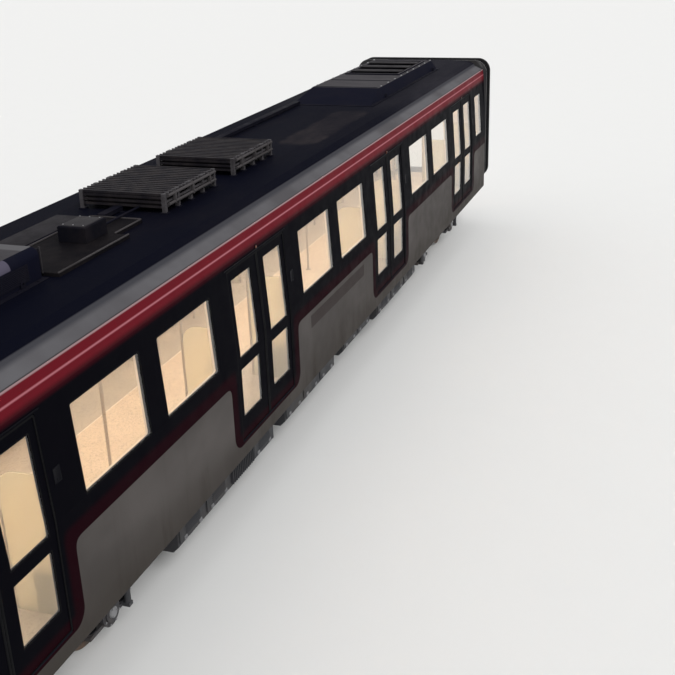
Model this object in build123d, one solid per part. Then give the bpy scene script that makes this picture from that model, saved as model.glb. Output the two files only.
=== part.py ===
from build123d import *
from math import cos, pi, sin
import os

# Intermediate car of a metro train, in millimetres.
# X runs along the car, Y across it and Z up. Z = 0 is the lowest point of the wheel flanges.
# The near side of the car faces -Y. Both ends, and both sides, are alike.

# Rails, wheels and heights
GAUGE_BACK = 1360.0
FLANGE_H = 28.0
TREAD_R = 430.0
RIM_W = 135.0
RIM_T = 62.0
AXLE_R = 80.0
WHEEL_SEAT_R = 92.0
JOURNAL_R = 65.0
FLOOR_ABOVE_RAIL = 1100.0
SILL_ABOVE_FLOOR = 1002.0
AXLE_Z = FLANGE_H + TREAD_R
FLOOR_Z = FLANGE_H + FLOOR_ABOVE_RAIL
SILL_Z = FLOOR_Z + SILL_ABOVE_FLOOR

# Body shell
BODY_L = 19600.0
BODY_W = 2900.0
WALL = 70.0
SKIRT_DROP = 1232.0
CANTRAIL_RISE = 1040.0
CANTRAIL_LEAN = 64.0
GUTTER_RISE = 1250.0
ROOF_FLAT_RISE = 1450.0
END_WALL_T = 80.0
END_CORNER_R = 110.0
FLOOR_T = 60.0
HALF_L = BODY_L / 2
HALF_W = BODY_W / 2
BODY_Z0 = SILL_Z - SKIRT_DROP
CANTRAIL_Z = SILL_Z + CANTRAIL_RISE
GUTTER_Z = SILL_Z + GUTTER_RISE
ROOF_Z = SILL_Z + ROOF_FLAT_RISE
INNER_W = HALF_W - WALL
INNER_L = HALF_L - END_WALL_T

# Doorways and windows, with heights from the window sill
END_BAY = 2150.0
DOOR_PITCH = (BODY_L - 2 * END_BAY) / 3
DOOR_HALF_W = 800.0
DOOR_RISE = 960.0
DOOR_FOOT = 48.0
DOOR_RECESS = 10.0
DOOR_T = 50.0
DOOR_SEAM = 4.0
PANE_NEAR = 170.0
PANE_FAR = 705.0
PANE_RISES = ((-790.0, -190.0), (-78.0, 846.0))
PANE_R = 22.0
DOOR_PIER = 435.0
WINDOW_NEAR = 155.0
WINDOW_FAR = DOOR_PITCH / 2 - DOOR_HALF_W - DOOR_PIER
WINDOW_RISE = 846.0
WINDOW_R = 32.0
END_WINDOW_X0 = HALF_L - 1000.0
END_WINDOW_X1 = HALF_L - 440.0
GLASS_T = 12.0
GLASS_RECESS = 6.0
DOOR_XS = [DOOR_PITCH * (n + 0.5) for n in (-2, -1, 0, 1)]
BAY_XS = [DOOR_PITCH * n for n in (-1, 0, 1)]

# Cantrail and roof: distances in from the side, and rises above the window sill
CANTRAIL_BEND_RISE = 1168.0
CANTRAIL_LEDGE_Y = 200.0
CANTRAIL_IN = CANTRAIL_LEAN + WALL
GUTTER_Y = 92.0
GUTTER_W = 16.0
GUTTER_LIP = 18.0
LEDGE_RISE = GUTTER_RISE + 6.0
LEDGE_T = 40.0
ROOF_OUTER = ((GUTTER_Y + GUTTER_W, LEDGE_RISE), (GUTTER_Y + GUTTER_W, 1264.0), (270.0, 1340.0),
              (292.0, 1385.0), (400.0, 1428.0), (760.0, ROOF_FLAT_RISE))
ROOF_INNER = ((CANTRAIL_LEDGE_Y, LEDGE_RISE), (300.0, 1290.0), (420.0, 1372.0), (760.0, 1392.0))

# Gangway between the cars
CAR_GAP = 800.0
PASSAGE_W = 1300.0
PASSAGE_H = 1980.0
TUNNEL_T = 25.0
PORTAL_T = 40.0
BELLOWS_INSET = 8.0
BELLOWS_TOP_RISE = 1446.0
BELLOWS_DROP = 1150.0
BELLOWS_R = 260.0
FOLDS = 7
FOLD_DEPTH = 50.0
FOLD_T = 12.0
FACE_X = HALF_L + CAR_GAP / 2

# Underframe
UNDERFRAME_Z0 = FLOOR_Z - 188.0
SIDE_SILL_W = 140.0
BEARER_W = 90.0
BEARER_PITCH = 1180.0
STRINGER_Y = 450.0
STRINGER_W = 90.0
HEADSTOCK_W = 120.0
BOLSTER_HALF_L = 380.0
FRAME_Z1 = FLOOR_Z - FLOOR_T

# Bogies, with the heights of their side beams
BOGIE_X = HALF_L - 2900.0
WHEELBASE = 2200.0
BOGIE_ENDS = (("front", 1), ("rear", -1))
BEAM_Y = GAUGE_BACK / 2 + 320.0
BEAM_W = 180.0
BEAM_FLANGE_T = 16.0
BEAM_WEB_IN = 22.0
BEAM_END_L = 400.0
BEAM_RISE_L = 240.0
BEAM_HALF_L = WHEELBASE / 2 + BEAM_END_L
BEAM_WAIST_HALF_L = WHEELBASE / 2 - 540.0
BEAM_WAIST_Z0 = AXLE_Z + 42.0
BEAM_WAIST_Z1 = AXLE_Z + 222.0
BEAM_END_Z0 = AXLE_Z + 182.0
BEAM_END_Z1 = AXLE_Z + 302.0
PIVOT_R = 75.0
PIVOT_PLATE_R = 240.0
PIVOT_PLATE_T = 25.0
PIVOT_TAPER_H = 110.0
PIN_GAP = 0.3
RUN_GAP = 5.0
BOX_R = 150.0
BOX_Y0 = BEAM_Y - 95.0
BOX_Y1 = BEAM_Y + 110.0
BOX_COVER_T = 20.0
SPRING_REACH = 260.0
SPRING_R = 85.0
SPRING_SEAT_T = 14.0
SPRING_STEPS = 4
WING_T = 40.0
WING_Z1 = AXLE_Z - 58.0
DAMPER_R = 34.0
DAMPER_ROD_R = 14.0
DAMPER_Y = BEAM_Y + BEAM_W / 2 + 46.0
AIR_SPRING_Y = BEAM_Y - 50.0
AIR_SPRING_R = 265.0
AIR_SEAT_T = 20.0
AIR_SEAT_R = 210.0
MOTOR_R = 225.0
MOTOR_RIB_H = 12.0
MOTOR_RIBS = 6
MOTOR_FAR_Y = GAUGE_BACK / 2 - 260.0
MOTOR_REACH = WHEELBASE / 2 - 555.0
MOTOR_LIFT = 20.0
MOTOR_GAP = 8.0
TRANSOM_HALF_L = MOTOR_REACH - MOTOR_R - MOTOR_RIB_H - MOTOR_GAP
GEAR_R = 205.0
GEAR_W = 160.0
GEAR_Y1 = GAUGE_BACK / 2 - 280.0
GEAR_Y0 = GEAR_Y1 - GEAR_W

# Drawbar between the cars
DRAWBAR_Z = FLANGE_H + 720.0
DRAWBAR_PIN_X = HALF_L - 750.0
DRAWBAR_PIN_R = 45.0
DRAWBAR_EYE_R = 110.0
DRAWBAR_EYE_H = 170.0
DRAWBAR_BAR_R = 62.0
DRAWBAR_FLANGE_R = 150.0
DRAWBAR_FLANGE_T = 40.0
DRAWBAR_PCD = 220.0
DRAWBAR_BOLTS = 8
DRAWBAR_BOLT_R = 13.0
POCKET_HALF_W = 185.0
POCKET_PLATE_T = 30.0

# Saloon
CEILING_EDGE_RISE = 1100.0
CEILING_RISE = 1160.0
CEILING_T = 20.0
CEILING_FLAT_Y = HALF_W - 420.0
LIGHT_Y = 600.0
LIGHT_W = 130.0
LIGHT_T = 26.0
LIGHT_L = 1480.0
LIGHT_PITCH = 1550.0
SEAT_DEPTH = 490.0
SEAT_H = 440.0
SEAT_BACK_H = 900.0
SEAT_PITCH = 535.0
SEAT_GAP = 30.0
SEAT_SHELL_T = 45.0
SEAT_BOX_DEPTH = 330.0
SCREEN_X = 80.0
SCREEN_T = 26.0
SCREEN_H = 1350.0
SCREEN_R = 180.0
POLE_R = 17.0
POLE_Y = INNER_W - 545.0
RAIL_H = 1850.0

# Front air conditioner: foot and top of its raked casing, and the condenser well in its top
AC_FOOT_X0 = HALF_L - 5850.0
AC_TOP_X0 = HALF_L - 5080.0
AC_TOP_X1 = HALF_L - 1500.0
AC_FOOT_X1 = HALF_L - 1350.0
AC_FOOT_HALF_W = 690.0
AC_TOP_HALF_W = 610.0
AC_H = 180.0
AC_WELL_X0 = HALF_L - 3500.0
AC_WELL_X1 = HALF_L - 1750.0
AC_WELL_HALF_W = 480.0
AC_WELL_DEPTH = 90.0
AC_RIM_W = 45.0
AC_RIM_H = 22.0
AC_SLAT_PITCH = 145.0
AC_SLAT_T = 18.0

# Rear roof unit with rounded shoulders
REAR_UNIT_X0 = -HALF_L + 1000.0
REAR_UNIT_X1 = REAR_UNIT_X0 + 3550.0
REAR_UNIT_HALF_W = 470.0
REAR_UNIT_H = 300.0
REAR_UNIT_R = 85.0
FAN_R = 290.0
FAN_DEPTH = 80.0
FAN_HUB_R = 70.0
FAN_BAR_W = 18.0
FAN_BARS = 5
FAN_REACH = 850.0

# Low tray on the roof in front of the rear unit, with the junction box on it
TRAY_GAP = 70.0
TRAY_L = 1280.0
TRAY_STEP_L = 550.0
TRAY_X0 = REAR_UNIT_X1 + TRAY_GAP
TRAY_X1 = TRAY_X0 + TRAY_L
TRAY_STEP_X = TRAY_X1 + TRAY_STEP_L
TRAY_Y0 = -610.0
TRAY_STEP_Y = -450.0
TRAY_Y1 = 180.0
TRAY_H = 36.0
JUNCTION_X = TRAY_X0 + 1075.0
JUNCTION_Y = -200.0
JUNCTION_L = 400.0
JUNCTION_W = 320.0
JUNCTION_H = 205.0

# Resistor racks in a row in front of the tray
RACK_START = 370.0
RACK_GAP = 530.0
RACK_LS = (1280.0, 1230.0)
RACK_X0 = TRAY_STEP_X + RACK_START
RACK_X1 = RACK_X0 + RACK_LS[0] + RACK_GAP
RACKS = ((RACK_X0, RACK_X0 + RACK_LS[0]), (RACK_X1, RACK_X1 + RACK_LS[1]))
RACK_HALF_W = 540.0
RACK_H = 220.0
RACK_POST_W = 45.0
RACK_RAIL_T = 24.0
RACK_RAIL_RISES = (62.0, 112.0, 162.0)
RACK_CORE_IN = 70.0
RACK_CORE_RISE = 48.0
RACK_BLADE_T = 20.0
RACK_BLADE_H = 26.0
RACK_BLADE_PITCH = 82.0
RACK_POST_PITCH = 320.0

# Equipment below the floor: first and last x as a share of the room between the bogies, the side that it
# reaches (0 for both), the distance from the middle at which it ends, and its depth below the underframe
MACHINE_GAP = 692.0
MACHINE_INSET = 210.0
MACHINE_REACH = BOGIE_X - WHEELBASE / 2 - TREAD_R - FLANGE_H - MACHINE_GAP
MACHINE_Y1 = HALF_W - MACHINE_INSET
UNDERFLOOR_BOXES = {
    "traction_inverter": (-1.0, -0.44, 0, MACHINE_Y1, 540.0),
    "auxiliary_converter": (0.505, 1.0, 0, MACHINE_Y1, 520.0),
    "battery_box": (-0.355, 0.055, -1, 480.0, 510.0),
    "brake_control_box": (0.14, 0.42, -1, 560.0, 460.0),
    "compressor_box": (-0.355, -0.075, 1, 480.0, 500.0),
}
FINNED_BOXES = ("traction_inverter", "compressor_box")
BOX_CHAMFER = 70.0
BOX_DOOR_W = 680.0
BOX_DOOR_T = 14.0
BOX_DOOR_RIM = 60.0
BOX_FIN_T = 12.0
BOX_FIN_H = 34.0
BOX_FIN_PITCH = 48.0
TANK_R = 175.0
TANK_OVERHANG = 280.0
TANK_GAP = 40.0
TANK_Y1 = MACHINE_Y1 - TANK_R - 15.0
TANK_YS = (TANK_Y1 - 2 * TANK_R - TANK_GAP, TANK_Y1)
TANK_Z = UNDERFRAME_Z0 - TANK_R - 30.0


def block(x0, x1, y0, y1, z0, z1):
    """A square-edged solid between two corners."""
    middle = Pos((x0 + x1) / 2, (y0 + y1) / 2, (z0 + z1) / 2)
    return middle * Box(abs(x1 - x0), abs(y1 - y0), abs(z1 - z0))


def along_x(points, x0, x1):
    """An outline of (y, z) points, drawn out from x0 to x1."""
    return extrude(Plane.YZ.offset(x0) * Polygon(*points, align=None), x1 - x0, dir=(1, 0, 0))


def along_y(points, y0, y1):
    """An outline of (x, z) points, drawn out from y0 to y1."""
    return extrude(Plane.XZ.offset(-y0) * Polygon(*points, align=None), y1 - y0, dir=(0, 1, 0))


def drum_x(radius, x0, x1, y, z):
    """A round bar along the car."""
    return Pos((x0 + x1) / 2, y, z) * Rot(0, 90, 0) * Cylinder(radius, abs(x1 - x0))


def drum_y(radius, y0, y1, x, z):
    """A round bar across the car."""
    return Pos(x, (y0 + y1) / 2, z) * Rot(90, 0, 0) * Cylinder(radius, abs(y1 - y0))


def drum_z(radius, z0, z1, x, y):
    """An upright round bar."""
    return Pos(x, y, (z0 + z1) / 2) * Cylinder(radius, abs(z1 - z0))


def group(pieces):
    """Like pieces that share a node without touching."""
    return Compound([solid for piece in pieces for solid in piece.solids()])


def both_sides(shape):
    """The shape and its mirror image across the car."""
    return [shape, mirror(shape, about=Plane.XZ)]


def both_ends(shape):
    """The shape and its mirror image along the car."""
    return [shape, mirror(shape, about=Plane.YZ)]


def inset(z):
    """How far the side has leaned in at this height."""
    return max(0.0, z - SILL_Z) * CANTRAIL_LEAN / CANTRAIL_RISE


def side_sheet(x0, x1, z0, z1, depth0, depth1):
    """A stretch of the near side between two depths below its outer face."""
    heights = [z0] + ([SILL_Z] if z0 < SILL_Z < z1 else []) + [z1]
    outer = [(-HALF_W + inset(z) + depth0, z) for z in heights]
    inner = [(-HALF_W + inset(z) + depth1, z) for z in reversed(heights)]
    return along_x(outer + inner, x0, x1)


def aperture(x0, x1, z0, z1, radius):
    """A round-cornered prism that passes right through the near side."""
    face = Plane.XZ.offset(HALF_W + WALL) * Pos((x0 + x1) / 2, (z0 + z1) / 2)
    return extrude(face * RectangleRounded(abs(x1 - x0), z1 - z0, radius), 3 * WALL, dir=(0, 1, 0))


def plan():
    """A tall prism on the car's plan, which rounds the corners of the shell."""
    return extrude(RectangleRounded(BODY_L, BODY_W, END_CORNER_R), ROOF_Z + WALL)


# Side walls, doors and glass


def window_spans():
    """First and last x of each fixed window of one side."""
    bays = [(bay + s * WINDOW_NEAR, bay + s * WINDOW_FAR) for bay in BAY_XS for s in (-1, 1)]
    ends = [(s * END_WINDOW_X0, s * END_WINDOW_X1) for s in (-1, 1)]
    return [tuple(sorted(span)) for span in bays + ends]


def window_apertures():
    return [aperture(x0, x1, SILL_Z, SILL_Z + WINDOW_RISE, WINDOW_R) for x0, x1 in window_spans()]


def leaf_panes(door_x, s):
    """The lower and upper pane apertures of one door leaf."""
    x0, x1 = sorted((door_x + s * PANE_NEAR, door_x + s * PANE_FAR))
    return [aperture(x0, x1, SILL_Z + low, SILL_Z + high, PANE_R) for low, high in PANE_RISES]


def side_wall():
    wall = side_sheet(-HALF_L, HALF_L, BODY_Z0, CANTRAIL_Z, 0, WALL)
    doorways = [
        block(x - DOOR_HALF_W, x + DOOR_HALF_W, -HALF_W - WALL, -INNER_W + 2 * WALL,
              FLOOR_Z - DOOR_FOOT, SILL_Z + DOOR_RISE)
        for x in DOOR_XS
    ]
    return (wall - doorways - window_apertures()) & plan()


def window_glass():
    sheet = side_sheet(-HALF_L, HALF_L, SILL_Z, SILL_Z + WINDOW_RISE, GLASS_RECESS, GLASS_RECESS + GLASS_T)
    return [sheet & hole for hole in window_apertures()]


def door_leaf(door_x, s):
    """A sliding plug leaf: s is -1 for the leaf nearer the rear of the car."""
    x0, x1 = sorted((door_x + s * DOOR_SEAM / 2, door_x + s * DOOR_HALF_W))
    sheet = side_sheet(x0, x1, FLOOR_Z - DOOR_FOOT, SILL_Z + DOOR_RISE, DOOR_RECESS, DOOR_RECESS + DOOR_T)
    return sheet - leaf_panes(door_x, s)


def door_glass():
    depth = DOOR_RECESS + GLASS_RECESS
    sheet = side_sheet(-HALF_L, HALF_L, BODY_Z0, CANTRAIL_Z, depth, depth + GLASS_T)
    return [sheet & pane for x in DOOR_XS for s in (-1, 1) for pane in leaf_panes(x, s)]


# Roof and ends


def cantrail():
    section = [
        (CANTRAIL_LEAN, CANTRAIL_RISE),
        (CANTRAIL_LEAN + 12, CANTRAIL_BEND_RISE),
        (GUTTER_Y, GUTTER_RISE),
        (GUTTER_Y, GUTTER_RISE + GUTTER_LIP),
        (GUTTER_Y + GUTTER_W, GUTTER_RISE + GUTTER_LIP),
        (GUTTER_Y + GUTTER_W, LEDGE_RISE),
        (CANTRAIL_LEDGE_Y, LEDGE_RISE),
        (CANTRAIL_LEDGE_Y, LEDGE_RISE - LEDGE_T),
        (CANTRAIL_IN, LEDGE_RISE - LEDGE_T),
        (CANTRAIL_IN, CANTRAIL_RISE),
    ]
    return along_x([(-HALF_W + y, SILL_Z + rise) for y, rise in section], -HALF_L, HALF_L) & plan()


def across_roof(half_section):
    """Points of a roof line from the near edge to the far edge."""
    near = [(-HALF_W + y, SILL_Z + rise) for y, rise in half_section]
    return near + [(-y, z) for y, z in reversed(near)]


def roof_shell():
    outline = across_roof(ROOF_OUTER) + list(reversed(across_roof(ROOF_INNER)))
    return along_x(outline, -HALF_L, HALF_L) & plan()


def end_wall():
    foot = [(-INNER_W, BODY_Z0), (-INNER_W, SILL_Z), (-HALF_W + CANTRAIL_IN, CANTRAIL_Z)]
    shoulder = [
        (-HALF_W + CANTRAIL_IN, SILL_Z + LEDGE_RISE - LEDGE_T),
        (-HALF_W + CANTRAIL_LEDGE_Y, SILL_Z + LEDGE_RISE - LEDGE_T),
    ]
    near = foot + shoulder + across_roof(ROOF_INNER)[:len(ROOF_INNER)]
    outline = near + [(-y, z) for y, z in reversed(near)]
    wall = along_x(outline, INNER_L, HALF_L) & plan()
    return wall - tunnel_space(INNER_L - 1, HALF_L + 1, TUNNEL_T)


# Gangway


def tunnel_space(x0, x1, grow):
    """The way through the gangway, grown by the thickness of its lining."""
    reach = PASSAGE_W / 2 + grow
    return block(x0, x1, -reach, reach, FLOOR_Z - grow, FLOOR_Z + PASSAGE_H + grow)


def bellows_ring(shrink, x):
    """Outline of the bellows at x, drawn in by shrink."""
    z0 = SILL_Z - BELLOWS_DROP
    z1 = SILL_Z + BELLOWS_TOP_RISE
    width = BODY_W - 2 * (BELLOWS_INSET + shrink)
    ring = RectangleRounded(width, z1 - z0 - 2 * shrink, BELLOWS_R - shrink)
    return Plane.YZ.offset(x) * Pos(0, (z0 + z1) / 2) * ring


def bellows_fold(x0, x1):
    """One fold: the cloth runs in from its crest to the middle and out again."""
    middle = (x0 + x1) / 2
    outer = bellows_half(x0, 0, middle, FOLD_DEPTH) + bellows_half(middle, FOLD_DEPTH, x1, 0)
    inner = bellows_half(x0, FOLD_T, middle, FOLD_DEPTH + FOLD_T)
    inner += bellows_half(middle, FOLD_DEPTH + FOLD_T, x1, FOLD_T)
    return outer - inner


def bellows_half(x0, shrink0, x1, shrink1):
    return loft([bellows_ring(shrink0, x0), bellows_ring(shrink1, x1)], ruled=True)


def gangway_bellows():
    x0 = HALF_L + PORTAL_T
    pitch = (CAR_GAP / 2 - 2 * PORTAL_T) / FOLDS
    folds = [bellows_fold(x0 + n * pitch, x0 + (n + 1) * pitch) for n in range(FOLDS)]
    return Part() + folds


def gangway_tunnel():
    """Lining of the passage, with a frame on the end wall and one that meets the next car."""
    lining = tunnel_space(INNER_L, FACE_X, TUNNEL_T)
    frames = [extrude(bellows_ring(0, x), PORTAL_T, dir=(1, 0, 0)) for x in (HALF_L, FACE_X - PORTAL_T)]
    return lining + frames - tunnel_space(INNER_L - 1, FACE_X + 1, 0)


# Underframe and floor


def bearer_xs():
    """Crossbearers at an even pitch, left out where a bolster or headstock is."""
    count = int((INNER_L - HEADSTOCK_W) / BEARER_PITCH)
    places = [BEARER_PITCH * n for n in range(-count, count + 1)]
    return [x for x in places if abs(abs(x) - BOGIE_X) > BOLSTER_HALF_L + BEARER_W]


def drawbar_pocket():
    """Cheeks and plates that hold the drawbar's pin at the front end."""
    tail_x = DRAWBAR_PIN_X - 2 * DRAWBAR_EYE_R
    mouth_x = INNER_L - HEADSTOCK_W
    z0 = DRAWBAR_Z - DRAWBAR_EYE_H / 2 - RUN_GAP
    z1 = DRAWBAR_Z + DRAWBAR_EYE_H / 2 + RUN_GAP
    half = POCKET_HALF_W + POCKET_PLATE_T
    cheeks = both_sides(block(tail_x, mouth_x, -half, -POCKET_HALF_W, z0 - POCKET_PLATE_T, UNDERFRAME_Z0))
    top = block(tail_x, mouth_x, -half, half, z1, z1 + POCKET_PLATE_T)
    bottom = block(tail_x, mouth_x - 150, -half, half, z0 - POCKET_PLATE_T, z0)
    back = block(tail_x - POCKET_PLATE_T, tail_x, -half, half, z0 - POCKET_PLATE_T, UNDERFRAME_Z0)
    pin = drum_z(DRAWBAR_PIN_R, z0 - 1.5 * POCKET_PLATE_T, z1 + POCKET_PLATE_T, DRAWBAR_PIN_X, 0)
    hanger = block(tail_x - POCKET_PLATE_T, mouth_x, -half, half, UNDERFRAME_Z0 - POCKET_PLATE_T, UNDERFRAME_Z0)
    return pin + cheeks + [top, bottom, back, hanger]


def underframe():
    sill = block(-INNER_L, INNER_L, -INNER_W, -INNER_W + SIDE_SILL_W, UNDERFRAME_Z0, FRAME_Z1)
    stringer = block(-INNER_L, INNER_L, -STRINGER_Y - STRINGER_W / 2, -STRINGER_Y + STRINGER_W / 2,
                     UNDERFRAME_Z0, FRAME_Z1)
    reach = INNER_W - SIDE_SILL_W / 2
    bearers = [
        block(x - BEARER_W / 2, x + BEARER_W / 2, -reach, reach, UNDERFRAME_Z0, FRAME_Z1)
        for x in bearer_xs()
    ]
    headstock = block(INNER_L - HEADSTOCK_W, INNER_L, -reach, reach, UNDERFRAME_Z0, FRAME_Z1)
    draft_sill = block(BOGIE_X, INNER_L - HEADSTOCK_W / 2, -POCKET_HALF_W - POCKET_PLATE_T,
                       -POCKET_HALF_W + POCKET_PLATE_T, UNDERFRAME_Z0, FRAME_Z1)
    bolster = block(BOGIE_X - BOLSTER_HALF_L, BOGIE_X + BOLSTER_HALF_L, -reach, reach,
                    UNDERFRAME_Z0, FRAME_Z1)
    pieces = both_sides(sill) + both_sides(stringer) + bearers
    for piece in [headstock, bolster, *both_sides(draft_sill)]:
        pieces += both_ends(piece)
    return Part() + pieces


def pivot():
    """Centre pin with the plate that bolts it under the bolster, at the front bogie."""
    plate = drum_z(PIVOT_PLATE_R, UNDERFRAME_Z0 - PIVOT_PLATE_T, UNDERFRAME_Z0, BOGIE_X, 0)
    taper = Pos(BOGIE_X, 0, UNDERFRAME_Z0 - PIVOT_PLATE_T - PIVOT_TAPER_H / 2)
    taper *= Cone(PIVOT_R, PIVOT_PLATE_R * 0.7, PIVOT_TAPER_H)
    return plate + taper + drum_z(PIVOT_R, BEAM_WAIST_Z0, UNDERFRAME_Z0, BOGIE_X, 0)


def floor_panel():
    return block(-INNER_L, INNER_L, -INNER_W, INNER_W, FRAME_Z1, FLOOR_Z)


# Saloon


def ceiling():
    edge_y = HALF_W - CANTRAIL_IN
    low = [(-edge_y, CEILING_EDGE_RISE), (-CEILING_FLAT_Y, CEILING_RISE)]
    bottom = low + [(-y, rise) for y, rise in reversed(low)]
    top = [(y, rise + CEILING_T) for y, rise in reversed(bottom)]
    return along_x([(y, SILL_Z + rise) for y, rise in bottom + top], -INNER_L, INNER_L)


def light_strips():
    z1 = SILL_Z + CEILING_RISE
    section = [(-LIGHT_W / 2, z1), (-LIGHT_W / 2 + 18, z1 - LIGHT_T), (LIGHT_W / 2 - 18, z1 - LIGHT_T),
               (LIGHT_W / 2, z1)]
    strips = []
    lights = int(2 * INNER_L / LIGHT_PITCH)
    for n in range(lights):
        x = (n - (lights - 1) / 2) * LIGHT_PITCH
        strip = along_x([(y - LIGHT_Y, z) for y, z in section], x - LIGHT_L / 2, x + LIGHT_L / 2)
        strips += both_sides(strip)
    return strips


def bench_spans():
    """First and last x of each bench of one side, and how many seats it has."""
    reach = DOOR_HALF_W + SCREEN_X + SCREEN_T
    middle = [(bay - DOOR_PITCH / 2 + reach, bay + DOOR_PITCH / 2 - reach) for bay in BAY_XS]
    ends = [(DOOR_XS[-1] + reach, INNER_L), (-INNER_L, DOOR_XS[0] - reach)]
    return [(x0, x1, int((x1 - x0) / SEAT_PITCH)) for x0, x1 in middle + ends]


def bench(x0, x1, seats):
    """A row of moulded seats on a plinth along the near side."""
    y_wall = -INNER_W
    pitch = (x1 - x0) / seats
    plinth = block(x0, x1, y_wall, y_wall + SEAT_BOX_DEPTH, FLOOR_Z, FLOOR_Z + SEAT_H - SEAT_SHELL_T)
    seat_z = FLOOR_Z + SEAT_H
    shell = [
        (y_wall, seat_z - SEAT_SHELL_T),
        (y_wall + SEAT_DEPTH - 30, seat_z - SEAT_SHELL_T),
        (y_wall + SEAT_DEPTH, seat_z - SEAT_SHELL_T / 2),
        (y_wall + SEAT_DEPTH - 40, seat_z),
        (y_wall + 130, seat_z - 18),
        (y_wall + 95, seat_z + 20),
        (y_wall + 48, FLOOR_Z + SEAT_BACK_H - 30),
        (y_wall + 30, FLOOR_Z + SEAT_BACK_H),
        (y_wall, FLOOR_Z + SEAT_BACK_H),
    ]
    shells = [
        along_x(shell, x0 + n * pitch + SEAT_GAP / 2, x0 + (n + 1) * pitch - SEAT_GAP / 2)
        for n in range(seats)
    ]
    return plinth + shells


def screens():
    """Draught screens that stand beside each doorway of the near side."""
    top = FLOOR_Z + SCREEN_H
    front_y = -POLE_Y - POLE_R - PIN_GAP
    outline = [(-INNER_W, FLOOR_Z), (-INNER_W, SILL_Z), (-INNER_W + inset(top), top), (front_y, top),
               (front_y, FLOOR_Z)]
    pieces = []
    for x in DOOR_XS:
        for s in (-1, 1):
            x0, x1 = sorted(x + s * (DOOR_HALF_W + SCREEN_X + n * SCREEN_T) for n in (0, 1))
            slab = along_x(outline, x0, x1)
            corner = slab.edges().filter_by(Axis.X).group_by(Axis.Z)[-1].sort_by(Axis.Y)[-1]
            pieces.append(fillet(corner, SCREEN_R))
    return pieces


def grab_rails():
    """Upright poles along the seat fronts, joined by a rail overhead."""
    pieces = []
    for x0, x1, seats in bench_spans():
        places = (x0 - SCREEN_T / 2, (x0 + x1) / 2, x1 + SCREEN_T / 2)
        inner = [x for x in places if abs(x) < INNER_L - 2 * POLE_R]
        poles = [drum_z(POLE_R, FLOOR_Z, SILL_Z + CEILING_RISE, x, -POLE_Y) for x in inner]
        rail = drum_x(POLE_R, min(inner), max(inner), -POLE_Y, FLOOR_Z + RAIL_H)
        pieces.append(rail + poles)
    return pieces


# Roof equipment


def front_air_conditioner():
    """Low casing with raked ends, seams across its top, and a sunken well with slats over the condenser."""
    foot_l = AC_FOOT_X1 - AC_FOOT_X0
    top_l = AC_TOP_X1 - AC_TOP_X0
    top_z = ROOF_Z + AC_H
    foot = Plane.XY.offset(ROOF_Z) * Pos(AC_FOOT_X0 + foot_l / 2, 0) * Rectangle(foot_l, 2 * AC_FOOT_HALF_W)
    top = Plane.XY.offset(top_z) * Pos(AC_TOP_X0 + top_l / 2, 0) * Rectangle(top_l, 2 * AC_TOP_HALF_W)
    casing = loft([foot, top], ruled=True)
    casing += block(AC_WELL_X0 - AC_RIM_W, AC_WELL_X1 + AC_RIM_W, -AC_WELL_HALF_W - AC_RIM_W,
                    AC_WELL_HALF_W + AC_RIM_W, top_z - AC_WELL_DEPTH, top_z + AC_RIM_H)
    casing -= block(AC_WELL_X0, AC_WELL_X1, -AC_WELL_HALF_W, AC_WELL_HALF_W, top_z - AC_WELL_DEPTH,
                    top_z + 2 * AC_RIM_H)
    slats = int((AC_WELL_X1 - AC_WELL_X0) / AC_SLAT_PITCH)
    drop = AC_WELL_DEPTH - AC_SLAT_T
    for n in range(slats):
        x = AC_WELL_X0 + (n + 0.5) * AC_SLAT_PITCH
        slat = [(x, top_z), (x + AC_SLAT_T, top_z), (x + AC_SLAT_T + drop / 2, top_z - drop),
                (x + drop / 2, top_z - drop)]
        casing += along_y(slat, -AC_WELL_HALF_W - 1, AC_WELL_HALF_W + 1)
    seams = [AC_TOP_X0 + AC_RIM_W + n * (AC_WELL_X0 - AC_TOP_X0) / 2 for n in (0, 1)]
    return casing + [
        block(x, x + AC_RIM_W / 2, -AC_TOP_HALF_W + AC_RIM_W, AC_TOP_HALF_W - AC_RIM_W, top_z - 1, top_z + 8)
        for x in seams
    ]


def rear_unit():
    """Tall casing with rounded shoulders and two fans under bars."""
    top_z = ROOF_Z + REAR_UNIT_H
    casing = block(REAR_UNIT_X0, REAR_UNIT_X1, -REAR_UNIT_HALF_W, REAR_UNIT_HALF_W, ROOF_Z, top_z)
    casing = fillet(casing.edges().filter_by(Axis.X).group_by(Axis.Z)[-1], REAR_UNIT_R)
    for s in (-1, 1):
        x = (REAR_UNIT_X0 + REAR_UNIT_X1) / 2 + s * FAN_REACH / 2
        casing -= drum_z(FAN_R, top_z - FAN_DEPTH, top_z + 1, x, 0)
        casing += drum_z(FAN_HUB_R, top_z - FAN_DEPTH, top_z - FAN_BAR_W, x, 0)
        for k in range(FAN_BARS):
            turn = Rot(0, 0, 180 * k / FAN_BARS)
            casing += Pos(x, 0, top_z - FAN_BAR_W / 2) * turn * Box(2 * FAN_R + 2, FAN_BAR_W, FAN_BAR_W)
    return casing


def spaced(x0, x1, pitch):
    """Places from x0 to x1 at an even step near the pitch."""
    count = max(1, round((x1 - x0) / pitch))
    return [x0 + n * (x1 - x0) / count for n in range(count + 1)]


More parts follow.
